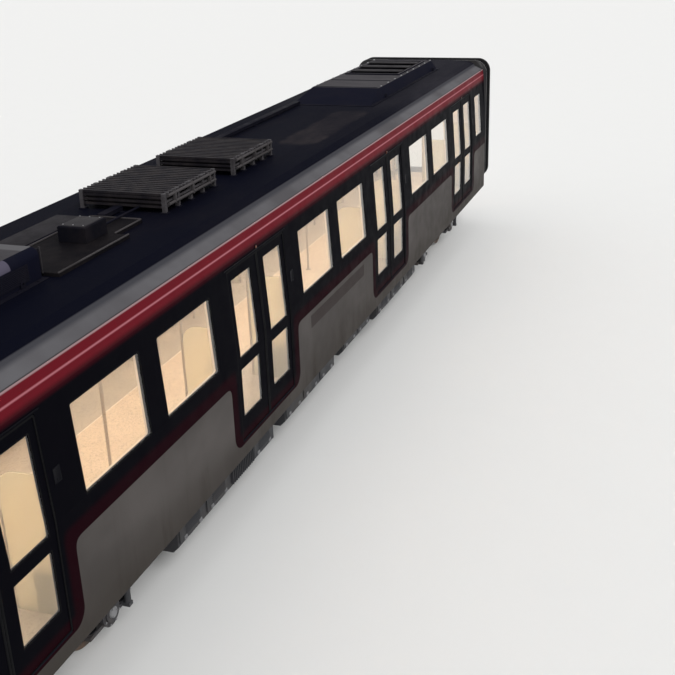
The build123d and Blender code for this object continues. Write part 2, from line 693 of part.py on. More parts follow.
def resistor_rack(x0, x1):
    """Ribbed core held above the roof in an open frame of posts and rails."""
    top_z = ROOF_Z + RACK_H
    half = RACK_POST_W / 2
    core = block(x0 + RACK_CORE_IN, x1 - RACK_CORE_IN, -RACK_HALF_W + RACK_CORE_IN,
                 RACK_HALF_W - RACK_CORE_IN, ROOF_Z + RACK_CORE_RISE, top_z - RACK_BLADE_H)
    blades = [
        block(x - RACK_BLADE_T / 2, x + RACK_BLADE_T / 2, -RACK_HALF_W + 1, RACK_HALF_W - 1,
              top_z - RACK_BLADE_H - 1, top_z)
        for x in spaced(x0 + half, x1 - half, RACK_BLADE_PITCH)
    ]
    posts = [
        block(x - half, x + half, -RACK_HALF_W, -RACK_HALF_W + RACK_POST_W, ROOF_Z, top_z)
        for x in spaced(x0 + half, x1 - half, RACK_POST_PITCH)
    ]
    rails = []
    for rise in RACK_RAIL_RISES:
        z0 = ROOF_Z + rise
        for x in (x0, x1 - RACK_RAIL_T):
            rails.append(block(x, x + RACK_RAIL_T, -RACK_HALF_W, RACK_HALF_W, z0, z0 + RACK_RAIL_T))
        side = block(x0, x1, -RACK_HALF_W + 8, -RACK_HALF_W + 8 + RACK_RAIL_T, z0, z0 + RACK_RAIL_T)
        rails += both_sides(side)
    for post in posts:
        rails += both_sides(post)
    return core + blades + rails


def roof_junction_box():
    tray = block(TRAY_X0, TRAY_X1, TRAY_Y0, TRAY_Y1, ROOF_Z, ROOF_Z + TRAY_H)
    step = block(TRAY_X1, TRAY_STEP_X, TRAY_STEP_Y, TRAY_Y1, ROOF_Z, ROOF_Z + TRAY_H)
    case = block(JUNCTION_X - JUNCTION_L / 2, JUNCTION_X + JUNCTION_L / 2, JUNCTION_Y - JUNCTION_W / 2,
                 JUNCTION_Y + JUNCTION_W / 2, ROOF_Z, ROOF_Z + JUNCTION_H)
    case = chamfer(case.edges().group_by(Axis.Z)[-1], TRAY_H / 3)
    return tray + step + case


# Equipment below the floor


def equipment_box(share0, share1, side, inner_y, depth, finned):
    """A hung box with a chamfered foot, and with raised doors or cooling fins on its outer sides."""
    x0 = share0 * MACHINE_REACH
    x1 = share1 * MACHINE_REACH
    z0 = UNDERFRAME_Z0 - depth
    sides = (-1, 1) if side == 0 else (side,)
    y0, y1 = sorted((sides[-1] * MACHINE_Y1, -inner_y if side == 0 else side * inner_y))
    case = along_x([
        (y0, UNDERFRAME_Z0),
        (y0, z0 + BOX_CHAMFER),
        (y0 + BOX_CHAMFER, z0),
        (y1 - BOX_CHAMFER, z0),
        (y1, z0 + BOX_CHAMFER),
        (y1, UNDERFRAME_Z0),
    ], x0, x1)
    panels = max(1, round((x1 - x0) / BOX_DOOR_W))
    pitch = (x1 - x0) / panels
    door_z0 = z0 + BOX_CHAMFER + BOX_DOOR_RIM / 2
    door_z1 = UNDERFRAME_Z0 - BOX_DOOR_RIM
    for s in sides:
        y = s * MACHINE_Y1
        for n in range(panels):
            panel_x0 = x0 + n * pitch + BOX_DOOR_RIM / 2
            panel_x1 = panel_x0 + pitch - BOX_DOOR_RIM
            if finned and n == panels // 2:
                case += [
                    block(x, x + BOX_FIN_T, y - s, y + s * BOX_FIN_H, door_z0, door_z1)
                    for x in spaced(panel_x0, panel_x1 - BOX_FIN_T, BOX_FIN_PITCH)
                ]
            else:
                case += block(panel_x0, panel_x1, y - s, y + s * BOX_DOOR_T, door_z0, door_z1)
    return case


def air_reservoir(y):
    """A dished tank held by saddles under two crossbearers."""
    tank = drum_x(TANK_R, -TANK_OVERHANG, BEARER_PITCH + TANK_OVERHANG, y, TANK_Z)
    tank = chamfer(tank.edges().filter_by(GeomType.CIRCLE), 60)
    for x in (0, BEARER_PITCH):
        tank += block(x - 30, x + 30, y - TANK_R - 12, y + TANK_R + 12, TANK_Z - 40, UNDERFRAME_Z0)
        tank += drum_x(TANK_R + 12, x - 30, x + 30, y, TANK_Z)
    return tank


# Bogies, drawn about their own pivot and set in place at the end


def beam_outline():
    """Side beam with a low waist, whose raised ends stand over the axle boxes."""
    upper_x = BEAM_WAIST_HALF_L
    lower_x = BEAM_WAIST_HALF_L - 110
    half = [
        (0, BEAM_WAIST_Z1), (upper_x, BEAM_WAIST_Z1), (upper_x + BEAM_RISE_L, BEAM_END_Z1),
        (BEAM_HALF_L, BEAM_END_Z1), (BEAM_HALF_L, BEAM_END_Z0), (lower_x + BEAM_RISE_L + 30, BEAM_END_Z0),
        (lower_x, BEAM_WAIST_Z0), (0, BEAM_WAIST_Z0),
    ]
    return half + [(-x, z) for x, z in reversed(half[1:-1])]


def bogie_frame():
    """Two side beams of flanges and webs, joined by a transom with the bore for the centre pin."""
    outer_y = BEAM_Y + BEAM_W / 2
    outline = beam_outline()
    beam = along_y(outline, -outer_y, -BEAM_Y + BEAM_W / 2)
    hollow = offset(Polygon(*outline, align=None), -BEAM_FLANGE_T, kind=Kind.INTERSECTION)
    beam -= extrude(Plane.XZ.offset(outer_y - BEAM_WEB_IN) * hollow, BEAM_W, dir=(0, -1, 0))
    ribs = [
        block(x - BEAM_FLANGE_T / 2, x + BEAM_FLANGE_T / 2, -outer_y, -outer_y + BEAM_WEB_IN,
              BEAM_WAIST_Z0 + 1, BEAM_WAIST_Z1 - 1)
        for x in (-TRANSOM_HALF_L, 0, TRANSOM_HALF_L)
    ]
    cups = [
        drum_z(BEAM_W / 2, BEAM_END_Z0 - SPRING_SEAT_T, BEAM_END_Z0, x + s * SPRING_REACH, -BEAM_Y)
        for x in (-WHEELBASE / 2, WHEELBASE / 2)
        for s in (-1, 1)
    ]
    reach = BEAM_Y - BEAM_W / 2
    transom = block(-TRANSOM_HALF_L, TRANSOM_HALF_L, -reach, reach, BEAM_WAIST_Z0, BEAM_WAIST_Z1)
    transom = chamfer(transom.edges().filter_by(Axis.Y), 2 * BEAM_FLANGE_T)
    seat = drum_z(AIR_SEAT_R, BEAM_WAIST_Z1 - BEAM_FLANGE_T, BEAM_WAIST_Z1 + AIR_SEAT_T, 0, -AIR_SPRING_Y)
    bore = drum_z(PIVOT_R + PIN_GAP, BEAM_WAIST_Z0 - 1, BEAM_WAIST_Z1 + 1, 0, 0)
    beam += ribs + cups
    return transom + both_sides(beam) + both_sides(seat) - bore


def rubber_spring():
    """Stacked rubber cones with a lip at each layer, as an outline turned about its own line."""
    height = BEAM_END_Z0 - SPRING_SEAT_T - WING_Z1
    layer = height / SPRING_STEPS
    outline = [(0, 0)]
    for n in range(SPRING_STEPS):
        radius = SPRING_R * (1 - 0.08 * n)
        outline += [(radius, n * layer), (radius, (n + 0.35) * layer), (0.86 * radius, (n + 0.5) * layer)]
        outline.append((0.86 * radius, (n + 1) * layer))
    outline.append((0, height))
    return revolve(Plane.XZ * Polygon(*outline, align=None), axis=Axis.Z)


def suspension_springs():
    """Rubber cones over the axle box wings and air springs under the body."""
    spring = rubber_spring()
    springs = []
    for axle_x in (-WHEELBASE / 2, WHEELBASE / 2):
        for s in (-1, 1):
            springs += both_sides(Pos(axle_x + s * SPRING_REACH, -BEAM_Y, WING_Z1) * spring)
    z0 = BEAM_WAIST_Z1 + AIR_SEAT_T
    z1 = UNDERFRAME_Z0 - RUN_GAP
    profile = [(0, z0), (160, z0), (150, z0 + 80), (AIR_SPRING_R - 25, z0 + 105), (AIR_SPRING_R, z0 + 145),
               (AIR_SPRING_R - 25, z1 - 35), (200, z1 - 15), (200, z1), (0, z1)]
    air = revolve(Plane.XZ * Polygon(*profile, align=None), axis=Axis.Z)
    springs += both_sides(Pos(0, -AIR_SPRING_Y, 0) * air)
    return springs


def damper(axle_x, s):
    """Upright damper beside an axle box, between a bracket on its wing and one on the beam's end."""
    x = axle_x + s * SPRING_REACH
    wall_y = -BEAM_Y - BEAM_W / 2
    low = block(x - DAMPER_R, x + DAMPER_R, -DAMPER_Y - DAMPER_R, wall_y, WING_Z1 - WING_T, WING_Z1)
    high = block(x - DAMPER_R, x + DAMPER_R, -DAMPER_Y - DAMPER_R, wall_y, BEAM_END_Z1 - WING_T, BEAM_END_Z1)
    middle_z = (WING_Z1 + BEAM_END_Z1) / 2
    barrel = drum_z(DAMPER_R, WING_Z1, middle_z, x, -DAMPER_Y)
    sleeve = drum_z(DAMPER_R + 5, middle_z - WING_T, BEAM_END_Z1 - 2 * WING_T, x, -DAMPER_Y)
    rod = drum_z(DAMPER_ROD_R, middle_z, BEAM_END_Z1 - WING_T, x, -DAMPER_Y)
    return barrel + [low, high, sleeve, rod]


def dampers():
    """One damper outside each axle box, towards the nearer end of the bogie."""
    pieces = []
    for s in (-1, 1):
        pieces += both_sides(damper(s * WHEELBASE / 2, s))
    return pieces


def axle_box(axle_x):
    """Bearing housing on the near side with a spring wing to each side."""
    shell = drum_y(BOX_R, -BOX_Y1, -BOX_Y0, axle_x, AXLE_Z)
    cover = drum_y(0.7 * BOX_R, -BOX_Y1 - 18, -BOX_Y1, axle_x, AXLE_Z)
    wing_reach = SPRING_REACH + SPRING_R + 10
    wing = block(axle_x - wing_reach, axle_x + wing_reach, -BEAM_Y - BEAM_W / 2, -BEAM_Y + BEAM_W / 2,
                 WING_Z1 - WING_T, WING_Z1)
    bore = drum_y(JOURNAL_R + PIN_GAP, -BOX_Y1 + BOX_COVER_T, -BOX_Y0 + 1, axle_x, AXLE_Z)
    return shell + cover + wing - bore


def drive_unit(s):
    """Motor on the transom and gear case round the axle: s is the side of the pivot it is on."""
    motor_x = s * MOTOR_REACH
    axle_x = s * WHEELBASE / 2
    motor = drum_y(MOTOR_R, -s * MOTOR_FAR_Y, s * GEAR_Y0, motor_x, AXLE_Z + MOTOR_LIFT)
    motor += [
        drum_y(MOTOR_R + MOTOR_RIB_H, y, y + MOTOR_RIB_H, motor_x, AXLE_Z + MOTOR_LIFT)
        for y in spaced(-s * MOTOR_FAR_Y, s * GEAR_Y0 - s * MOTOR_RIB_H, (MOTOR_FAR_Y + GEAR_Y0) / MOTOR_RIBS)
    ]
    bracket = block(s * TRANSOM_HALF_L, motor_x, -s * 330, s * 130, BEAM_WAIST_Z0 + 20, BEAM_WAIST_Z1 - 20)
    y0, y1 = sorted((s * GEAR_Y0, s * GEAR_Y1))
    big = drum_y(GEAR_R, y0, y1, axle_x, AXLE_Z)
    small = drum_y(0.7 * GEAR_R, y0, y1, motor_x, AXLE_Z + MOTOR_LIFT)
    link = along_y([(motor_x, AXLE_Z + MOTOR_LIFT - 0.7 * GEAR_R), (motor_x, AXLE_Z + MOTOR_LIFT + 0.7 * GEAR_R),
                    (axle_x, AXLE_Z + GEAR_R - 5), (axle_x, AXLE_Z - GEAR_R + 5)], y0, y1)
    bore = drum_y(AXLE_R + PIN_GAP, y0 - 1, y1 + 1, axle_x, AXLE_Z)
    return motor + bracket + big + small + link - bore


def brake_units():
    """Tread brakes inboard of each wheel, hung on the side beams."""
    near_y = GAUGE_BACK / 2 + RIM_W - 5
    far_y = GAUGE_BACK / 2 + 42
    units = []
    for s in (-1, 1):
        axle_x = s * WHEELBASE / 2
        face_x = axle_x - s * (TREAD_R + RUN_GAP)
        shoe = block(face_x - s * 40, face_x + s * 60, -near_y, -far_y, AXLE_Z - 150, AXLE_Z + 130)
        shoe -= drum_y(TREAD_R + RUN_GAP, -near_y - 1, -far_y + 1, axle_x, AXLE_Z)
        case_x = s * (TRANSOM_HALF_L + 60)
        case = block(case_x, face_x - s * 60, -BEAM_Y + BEAM_W / 2, -far_y, AXLE_Z - 30, AXLE_Z + 130)
        case = chamfer(case.edges().filter_by(Axis.Y), 25)
        ram = drum_x(45, min(case_x, face_x), max(case_x, face_x), -(near_y + far_y) / 2, AXLE_Z)
        units += both_sides(case + shoe + ram)
    return units


def axle_shape():
    """Half outline of the axle turned about its own line: y, radius."""
    seat_y0 = GAUGE_BACK / 2 - 40
    seat_y1 = GAUGE_BACK / 2 + RIM_W + 30
    half = [(0, AXLE_R), (seat_y0 - 40, AXLE_R), (seat_y0, WHEEL_SEAT_R), (seat_y1, WHEEL_SEAT_R),
            (seat_y1 + 10, AXLE_R), (BOX_Y0 - 17, AXLE_R), (BOX_Y0 - 11, JOURNAL_R),
            (BOX_Y1 - BOX_COVER_T - RUN_GAP, JOURNAL_R)]
    line = [(-y, r) for y, r in reversed(half[1:])] + half
    outline = [(line[0][0], 0)] + line + [(line[-1][0], 0)]
    return revolve(Plane.YZ * Polygon(*outline, align=None), axis=Axis.Y)


def wheel_shape():
    """Outline of a wheel turned about the axle: y, radius."""
    back = GAUGE_BACK / 2
    face = back + RIM_W
    flange_r = TREAD_R + FLANGE_H
    rim_in = TREAD_R - RIM_T
    outline = [
        (back - 25, WHEEL_SEAT_R), (face + 20, WHEEL_SEAT_R), (face + 20, 128), (back + 95, 142),
        (back + 82, rim_in - 12), (face - 8, rim_in), (face, rim_in + 10), (face, TREAD_R - 8),
        (face - 8, TREAD_R - 3), (back + 36, TREAD_R + 2), (back + 26, flange_r - 6), (back + 17, flange_r),
        (back + 10, flange_r - 3), (back, flange_r - 18), (back, rim_in + 10), (back + 8, rim_in),
        (back + 54, rim_in - 12), (back + 66, 142), (back - 25, 128),
    ]
    return revolve(Plane.YZ * Polygon(*outline, align=None), axis=Axis.Y)


def drawbar():
    """Bar from its pin to the bolted flange at the front face."""
    eye = drum_z(DRAWBAR_EYE_R, DRAWBAR_Z - DRAWBAR_EYE_H / 2, DRAWBAR_Z + DRAWBAR_EYE_H / 2, DRAWBAR_PIN_X, 0)
    bar = drum_x(DRAWBAR_BAR_R, DRAWBAR_PIN_X, FACE_X - DRAWBAR_FLANGE_T, 0, DRAWBAR_Z)
    flange = drum_x(DRAWBAR_FLANGE_R, FACE_X - DRAWBAR_FLANGE_T, FACE_X, 0, DRAWBAR_Z)
    bore = drum_z(DRAWBAR_PIN_R + PIN_GAP, DRAWBAR_Z - DRAWBAR_EYE_H, DRAWBAR_Z + DRAWBAR_EYE_H, DRAWBAR_PIN_X, 0)
    angles = [2 * pi * n / DRAWBAR_BOLTS for n in range(DRAWBAR_BOLTS)]
    holes = [
        drum_x(DRAWBAR_BOLT_R, FACE_X - DRAWBAR_FLANGE_T - 1, FACE_X + 1,
               DRAWBAR_PCD / 2 * cos(angle), DRAWBAR_Z + DRAWBAR_PCD / 2 * sin(angle))
        for angle in angles
    ]
    return eye + bar + flange - bore - holes


def car_body():
    """Every node of the body, by name."""
    wall = side_wall()
    leaves = [door_leaf(x, s) for x in DOOR_XS for s in (-1, 1)]
    panes = door_glass()
    windows = window_glass()
    benches = [bench(*span) for span in bench_spans()]
    tunnel = gangway_tunnel()
    bellows = gangway_bellows()
    nodes = {
        "underframe": underframe(),
        "centre_pivots": group(both_ends(pivot())),
        "drawbar_pockets": group(both_ends(drawbar_pocket())),
        "floor_panel": floor_panel(),
        "side_wall_near": wall,
        "side_wall_far": mirror(wall, about=Plane.XZ),
        "cantrails": group(both_sides(cantrail())),
        "roof_shell": roof_shell(),
        "door_leaves_near": group(leaves),
        "door_leaves_far": mirror(group(leaves), about=Plane.XZ),
        "door_glass": group([piece for pane in panes for piece in both_sides(pane)]),
        "window_glass": group([piece for pane in windows for piece in both_sides(pane)]),
        "ceiling": ceiling(),
        "light_strips": group(light_strips()),
        "seats_near": group(benches),
        "seats_far": mirror(group(benches), about=Plane.XZ),
        "draught_screens": group([piece for screen in screens() for piece in both_sides(screen)]),
        "grab_rails": group([piece for rails in grab_rails() for piece in both_sides(rails)]),
        "air_conditioners": group([front_air_conditioner(), rear_unit()]),
        "resistor_racks": group([resistor_rack(*row) for row in RACKS]),
        "roof_junction_box": roof_junction_box(),
        "air_reservoirs": group([air_reservoir(y) for y in TANK_YS]),
    }
    for name, s in BOGIE_ENDS:
        turn = Rot(0, 0, 0 if s > 0 else 180)
        nodes["end_wall_" + name] = turn * end_wall()
        nodes["gangway_bellows_" + name] = turn * bellows
        nodes["gangway_tunnel_" + name] = turn * tunnel
    for name, row in UNDERFLOOR_BOXES.items():
        nodes[name] = equipment_box(*row, name in FINNED_BOXES)
    return nodes


def bogie_nodes():
    """Every node of the two bogies and the drawbars, by name."""
    boxes = [piece for x in (-WHEELBASE / 2, WHEELBASE / 2) for piece in both_sides(axle_box(x))]
    shapes = {
        "bogie_frame": bogie_frame(),
        "suspension_springs": group(suspension_springs()),
        "axle_boxes": group(boxes),
        "drive_units": group([drive_unit(s) for s in (-1, 1)]),
        "brake_units": group(brake_units()),
        "dampers": group(dampers()),
    }
    wheels = group(both_sides(wheel_shape()))
    axle = axle_shape()
    nodes = {}
    number = 1
    for name, s in BOGIE_ENDS:
        for node, shape in shapes.items():
            nodes[node + "_" + name] = Pos(s * BOGIE_X, 0, 0) * shape
        for axle_s in (1, -1):
            place = Pos(s * BOGIE_X + axle_s * WHEELBASE / 2, 0, AXLE_Z)
            nodes[f"axle_{number}"] = place * axle
            nodes[f"wheels_{number}"] = place * wheels
            number += 1
        nodes["drawbar_" + name] = Rot(0, 0, 0 if s > 0 else 180) * drawbar()
    return nodes


def main():
    os.makedirs("parts", exist_ok=True)
    for node, shape in {**car_body(), **bogie_nodes()}.items():
        export_step(shape, f"parts/{node}.step")


main()
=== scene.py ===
from math import cos, pi, radians, sin

import bmesh
import bpy
from bpy.props import FloatProperty, FloatVectorProperty, PointerProperty
from mathutils import Matrix, Vector


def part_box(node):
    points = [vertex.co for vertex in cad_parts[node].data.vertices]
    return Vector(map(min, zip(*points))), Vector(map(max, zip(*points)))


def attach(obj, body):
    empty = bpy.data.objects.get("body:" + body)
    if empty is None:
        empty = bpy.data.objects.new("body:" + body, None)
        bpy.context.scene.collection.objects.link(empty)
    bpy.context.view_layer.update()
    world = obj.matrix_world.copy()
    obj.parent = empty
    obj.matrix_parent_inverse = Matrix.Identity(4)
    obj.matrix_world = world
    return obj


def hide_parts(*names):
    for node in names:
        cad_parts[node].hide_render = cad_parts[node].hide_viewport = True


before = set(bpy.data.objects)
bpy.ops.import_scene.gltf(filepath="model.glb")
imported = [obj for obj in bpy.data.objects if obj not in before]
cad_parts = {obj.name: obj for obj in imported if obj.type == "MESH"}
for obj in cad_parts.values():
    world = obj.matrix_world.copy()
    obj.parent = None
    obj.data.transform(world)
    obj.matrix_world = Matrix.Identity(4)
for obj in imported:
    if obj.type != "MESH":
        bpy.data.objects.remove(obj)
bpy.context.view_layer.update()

bl_info = {
    "name": "Metro car",
    "version": (1, 0, 0),
    "blender": (4, 5, 0),
    "location": "3D View > Sidebar > Metro car",
    "description": "Finishes and fittings of a metro car over its solid frame",
    "category": "Object",
}

# Main sizes, in metres, read from the frame
WALL_LO, WALL_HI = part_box("side_wall_near")
HALF_L, HALF_W = WALL_HI.x, -WALL_LO.y
BODY_Z0, CANTRAIL_Z = WALL_LO.z, WALL_HI.z
SILL_Z, WINDOW_TOP_Z = (corner.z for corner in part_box("window_glass"))
DOOR_Z0, DOOR_Z1 = (corner.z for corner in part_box("door_leaves_near"))
INNER_L, INNER_W, FLOOR_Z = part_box("floor_panel")[1]
ROOF_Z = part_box("roof_shell")[1].z
CEILING_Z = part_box("light_strips")[1].z
UNDERFRAME_Z0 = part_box("underframe")[0].z
FACE_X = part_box("gangway_tunnel_front")[1].x
AXLES = [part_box(f"axle_{n}") for n in (1, 2)]
AXLE_XS = [(lo.x + hi.x) / 2 for lo, hi in AXLES]
AXLE_Z = AXLES[0][0].z + (AXLES[0][1].z - AXLES[0][0].z) / 2
TREAD_R = AXLE_Z - 0.028
BOGIE_X = (AXLE_XS[0] + AXLE_XS[1]) / 2
HALF_WHEELBASE = (AXLE_XS[0] - AXLE_XS[1]) / 2

# Doors and windows of one side, as in the solids
DOOR_PITCH = 5.1
DOOR_HALF_W = 0.8
DOOR_RECESS = 0.010
DOOR_XS = [DOOR_PITCH * (n + 0.5) for n in (-2, -1, 0, 1)]
BAY_XS = [DOOR_PITCH * n for n in (-1, 0, 1)]
WINDOW_NEAR, WINDOW_FAR = 0.155, 1.315
END_WINDOW = (HALF_L - 1.0, HALF_L - 0.44)
PANE_NEAR, PANE_FAR = 0.170, 0.705
PANE_RISES = ((-0.790, -0.190), (-0.078, 0.846))
LEAN = 0.064 / (CANTRAIL_Z - SILL_Z)
PASSAGE_HALF_W, PASSAGE_H = 0.65, 1.98

# Units on the roof, as in the solids
AIR_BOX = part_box("air_conditioners")
JUNCTION_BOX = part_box("roof_junction_box")
REAR_UNIT = (AIR_BOX[0].x, AIR_BOX[0].x + 3.55)
REAR_UNIT_HALF_W = 0.47
REAR_UNIT_Z1 = AIR_BOX[1].z
AC_FOOT = (AIR_BOX[1].x - 4.5, AIR_BOX[1].x)
AC_HALF_W = 0.69
AC_TOP_X0 = AC_FOOT[0] + 0.77
AC_Z1 = ROOF_Z + 0.18
RACKS = ((-2.98, -1.70), (-1.17, 0.06))
RACK_HALF_W, RACK_Z1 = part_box("resistor_racks")[1].yz


# Settings a user would change


def colour(name, description, default):
    return FloatVectorProperty(name=name, description=description, subtype="COLOR", default=default,
                               min=0, max=1)


def amount(name, description, default, least=0, **unit):
    return FloatProperty(name=name, description=description, default=default, min=least, **unit)


def length(name, description, default, least=0):
    return amount(name, description, default, least, unit="LENGTH")


class LiverySettings(bpy.types.PropertyGroup):
    panel: colour("Side panel", "Paint below the windows", (0.083, 0.076, 0.073))
    band: colour("Window band", "Paint round the windows and doors", (0.0018, 0.0018, 0.0034))
    edge: colour("Edge line", "Line between band and panel", (0.0098, 0.0012, 0.0031))
    plate: colour("Side plate", "Bare plate in the middle of the side", (0.044, 0.037, 0.036))
    cantrail: colour("Cantrail", "Band along the edge of the roof", (0.118, 0.0075, 0.0135))
    roof: colour("Roof top", "Covering of the middle of the roof", (0.0030, 0.0034, 0.0080))
    shoulder: colour("Roof shoulder", "Paint beside the gutter", (0.112, 0.110, 0.118))
    band_drop: length("Band foot", "How far the band reaches below the sill", 0.285)
    door_frame: length("Door frame", "Half width of the band round a door", 1.0, 0.8)
    door_drop: length("Door frame foot", "Depth of the band below the sill at a door", 1.08)
    line: length("Line width", "Width of the edge line", 0.150)
    corner: length("Corner radius", "Radius of the band's lower corners", 0.17, 0.01)


class CabinSettings(bpy.types.PropertyGroup):
    glow: colour("Lamp colour", "Colour of the ceiling lamps", (1.0, 0.84, 0.72))
    power: amount("Lamp strength", "Strength of the ceiling lamps", 20.0)


class StageSettings(bpy.types.PropertyGroup):
    lens: amount("Lens", "Focal length of the camera in millimetres", 56.23, 1)
    floor: colour("Floor", "Colour of the floor", (0.80, 0.80, 0.79))
    sun: amount("Key light", "Strength of the soft key light", 1.6)
    sky: amount("Fill light", "Strength of the even fill light", 0.75)


# Modelling by hand, in steps that several pieces share

OUT, AHEAD, UP, DOWN = (0, -1, 0), (1, 0, 0), (0, 0, 1), (0, 0, -1)
SMOOTH_BELOW = radians(35)


def deselect():
    bpy.ops.object.select_all(action="DESELECT")


def take(piece):
    """The piece alone is selected and active."""
    deselect()
    piece.select_set(True)
    bpy.context.view_layer.objects.active = piece


def primitive(add, scale=(1, 1, 1), **values):
    """A primitive, with its place, turn and scale in its mesh."""
    deselect()
    add(**values)
    piece = bpy.context.active_object
    piece.scale = scale
    bpy.ops.object.transform_apply(location=True, rotation=True, scale=True)
    return piece


def cube(lo, hi):
    """A cube between two corners."""
    lo, hi = Vector(lo), Vector(hi)
    return primitive(bpy.ops.mesh.primitive_cube_add, hi - lo, size=1, location=(lo + hi) / 2)


def rod(start, end, radius, sides=16, end_radius=None, edge=0.0):
    """A bar or cone from one point to another, with its edges eased if that is given."""
    start, end = Vector(start), Vector(end)
    placed = {"vertices": sides, "depth": (end - start).length, "location": (start + end) / 2,
              "rotation": (end - start).to_track_quat("Z", "Y").to_euler()}
    if end_radius is None:
        piece = primitive(bpy.ops.mesh.primitive_cylinder_add, radius=radius, **placed)
    else:
        piece = primitive(bpy.ops.mesh.primitive_cone_add, radius1=radius, radius2=end_radius, **placed)
    return bevelled(piece, edge, 1) if edge else piece


def ring(centre, axis, radius, thickness, sides=40, minor=6):
    return primitive(bpy.ops.mesh.primitive_torus_add, location=centre, major_radius=radius,
                     rotation=Vector(axis).to_track_quat("Z", "Y").to_euler(), minor_radius=thickness,
                     major_segments=sides, minor_segments=minor)


def facing(direction):
    direction = Vector(direction).normalized()
    return lambda face: face.normal.dot(direction) > 0.9


def work(piece, kind, pick, action):
    """Edit mode on one piece: pick chooses its faces, edges or vertices, and action works on them.
    A direction in place of pick chooses the faces that look that way, and None chooses all."""
    if isinstance(pick, tuple):
        pick = facing(pick)
    take(piece)
    bpy.ops.object.mode_set(mode="EDIT")
    bpy.ops.mesh.select_mode(type=kind)
    bpy.ops.mesh.select_all(action="DESELECT")
    mesh = bmesh.from_edit_mesh(piece.data)
    for item in {"FACE": mesh.faces, "EDGE": mesh.edges, "VERT": mesh.verts}[kind]:
        if pick is None or pick(item):
            item.select_set(True)
    mesh.select_flush_mode()
    bmesh.update_edit_mesh(piece.data)
    action()
    bpy.ops.object.mode_set(mode="OBJECT")
    return piece


def bevelled(piece, width, segments=2, pick=None):
    return work(piece, "EDGE", pick,
                lambda: bpy.ops.mesh.bevel(offset=width, segments=segments, affect="EDGES"))


def inset(piece, pick, thickness, depth=0.0):
    return work(piece, "FACE", pick, lambda: bpy.ops.mesh.inset(thickness=thickness, depth=depth))


def shifted(piece, pick, offset):
    return work(piece, "FACE", pick, lambda: bpy.ops.transform.translate(value=offset))


def modified(piece, kind, **values):
    """A modifier with these values, applied."""
    take(piece)
    modifier = piece.modifiers.new(kind.lower(), kind)
    for key, value in values.items():
        setattr(modifier, key, value)
    bpy.ops.object.modifier_apply(modifier=modifier.name)
    return piece


def outward(piece):
    """Doubles merged and normals turned outwards."""

    def action():
        bpy.ops.mesh.remove_doubles(threshold=0.00001)
        bpy.ops.mesh.normals_make_consistent(inside=False)

    return work(piece, "FACE", None, action)


def row(piece, count, step):
    """A row of like shapes at an even step."""
    return modified(piece, "ARRAY", count=count, use_relative_offset=False, use_constant_offset=True,
                    constant_offset_displace=step)


def mirrored(piece, axes="y"):
    """The piece and its mirror image about the middle of the car, across it unless other axes are given."""
    modified(piece, "MIRROR", use_axis=("x" in axes, "y" in axes, False), use_mirror_merge=False)
    return work(piece, "FACE", None, lambda: bpy.ops.mesh.normals_make_consistent(inside=False))


def copy(piece, matrix):
    """Another piece of the same shape, with its own mesh, put elsewhere."""
    other = piece.copy()
    other.data = piece.data.copy()
    bpy.context.scene.collection.objects.link(other)
    other.data.transform(matrix)
    return other


def joined(pieces):
    take(pieces[0])
    for piece in pieces[1:]:
        piece.select_set(True)
    if len(pieces) > 1:
        bpy.ops.object.join()
    return pieces[0]


def at_places(piece, offsets):
    """The piece at every one of these offsets, as one piece."""
    first, *others = [Vector(offset) for offset in offsets]
    piece.data.transform(Matrix.Translation(first))
    return joined([piece] + [copy(piece, Matrix.Translation(offset - first)) for offset in others])


def at_xs(piece, xs):
    return at_places(piece, [(x, 0, 0) for x in xs])


def at_doors(piece):
    return at_xs(piece, DOOR_XS)


def at_windows(piece):
    return at_xs(piece, [bay - step for bay in BAY_XS for step in (0, WINDOW_NEAR + WINDOW_FAR)])


def evenly(first, last, count):
    """Evenly spaced places from first to last."""
    return [first + n * (last - first) / (count - 1) for n in range(count)]


def circle(count, radius, start=0.0):
    """Evenly spaced places round a circle."""
    angles = [2 * pi * n / count + start for n in range(count)]
    return [(radius * cos(angle), radius * sin(angle)) for angle in angles]


def leaned(piece):
    """The near side's lean above the window sill, given to a piece that was drawn upright."""
    work(piece, "FACE", None, lambda: bpy.ops.mesh.bisect(plane_co=(0, 0, SILL_Z), plane_no=UP))
    for vertex in piece.data.vertices:
        vertex.co.y += max(0.0, vertex.co.z - SILL_Z) * LEAN
    return piece


def slab(lo, hi, edge, segments=2):
    """A plate or case with eased edges."""
    return bevelled(cube(lo, hi), edge, segments)


def bolts(axis, radius, height, places):
    """Hexagon heads with eased tops, standing on their faces."""
    axis = Vector(axis)
    head = rod(axis * height * -0.3, axis * height, radius, 6)
    return at_places(inset(head, facing(axis), radius * 0.2, radius * 0.12), places)


def flat_frame(place, turn, size, radius, segments, width, **solidify):
    """A frame with rounded corners, drawn as a plane and given its thickness."""

    def cut_hole():
        bpy.ops.mesh.inset(thickness=width)
        bpy.ops.mesh.delete(type="FACE")

    piece = primitive(bpy.ops.mesh.primitive_plane_add, (*size, 1), size=1, location=place, rotation=turn)
    work(piece, "VERT", None,
         lambda: bpy.ops.mesh.bevel(offset=radius, segments=segments, affect="VERTICES"))
    work(piece, "FACE", None, cut_hole)
    return outward(modified(piece, "SOLIDIFY", **solidify))


def gasket(x0, x1, z0, z1, radius, width, depth, thick):
    """Round-cornered frame on the near side, whose face lies that deep below the paint."""
    return flat_frame(((x0 + x1) / 2, depth - HALF_W, (z0 + z1) / 2), (pi / 2, 0, 0), (x1 - x0, z1 - z0),
                      radius, 4, width, thickness=thick, offset=-1)


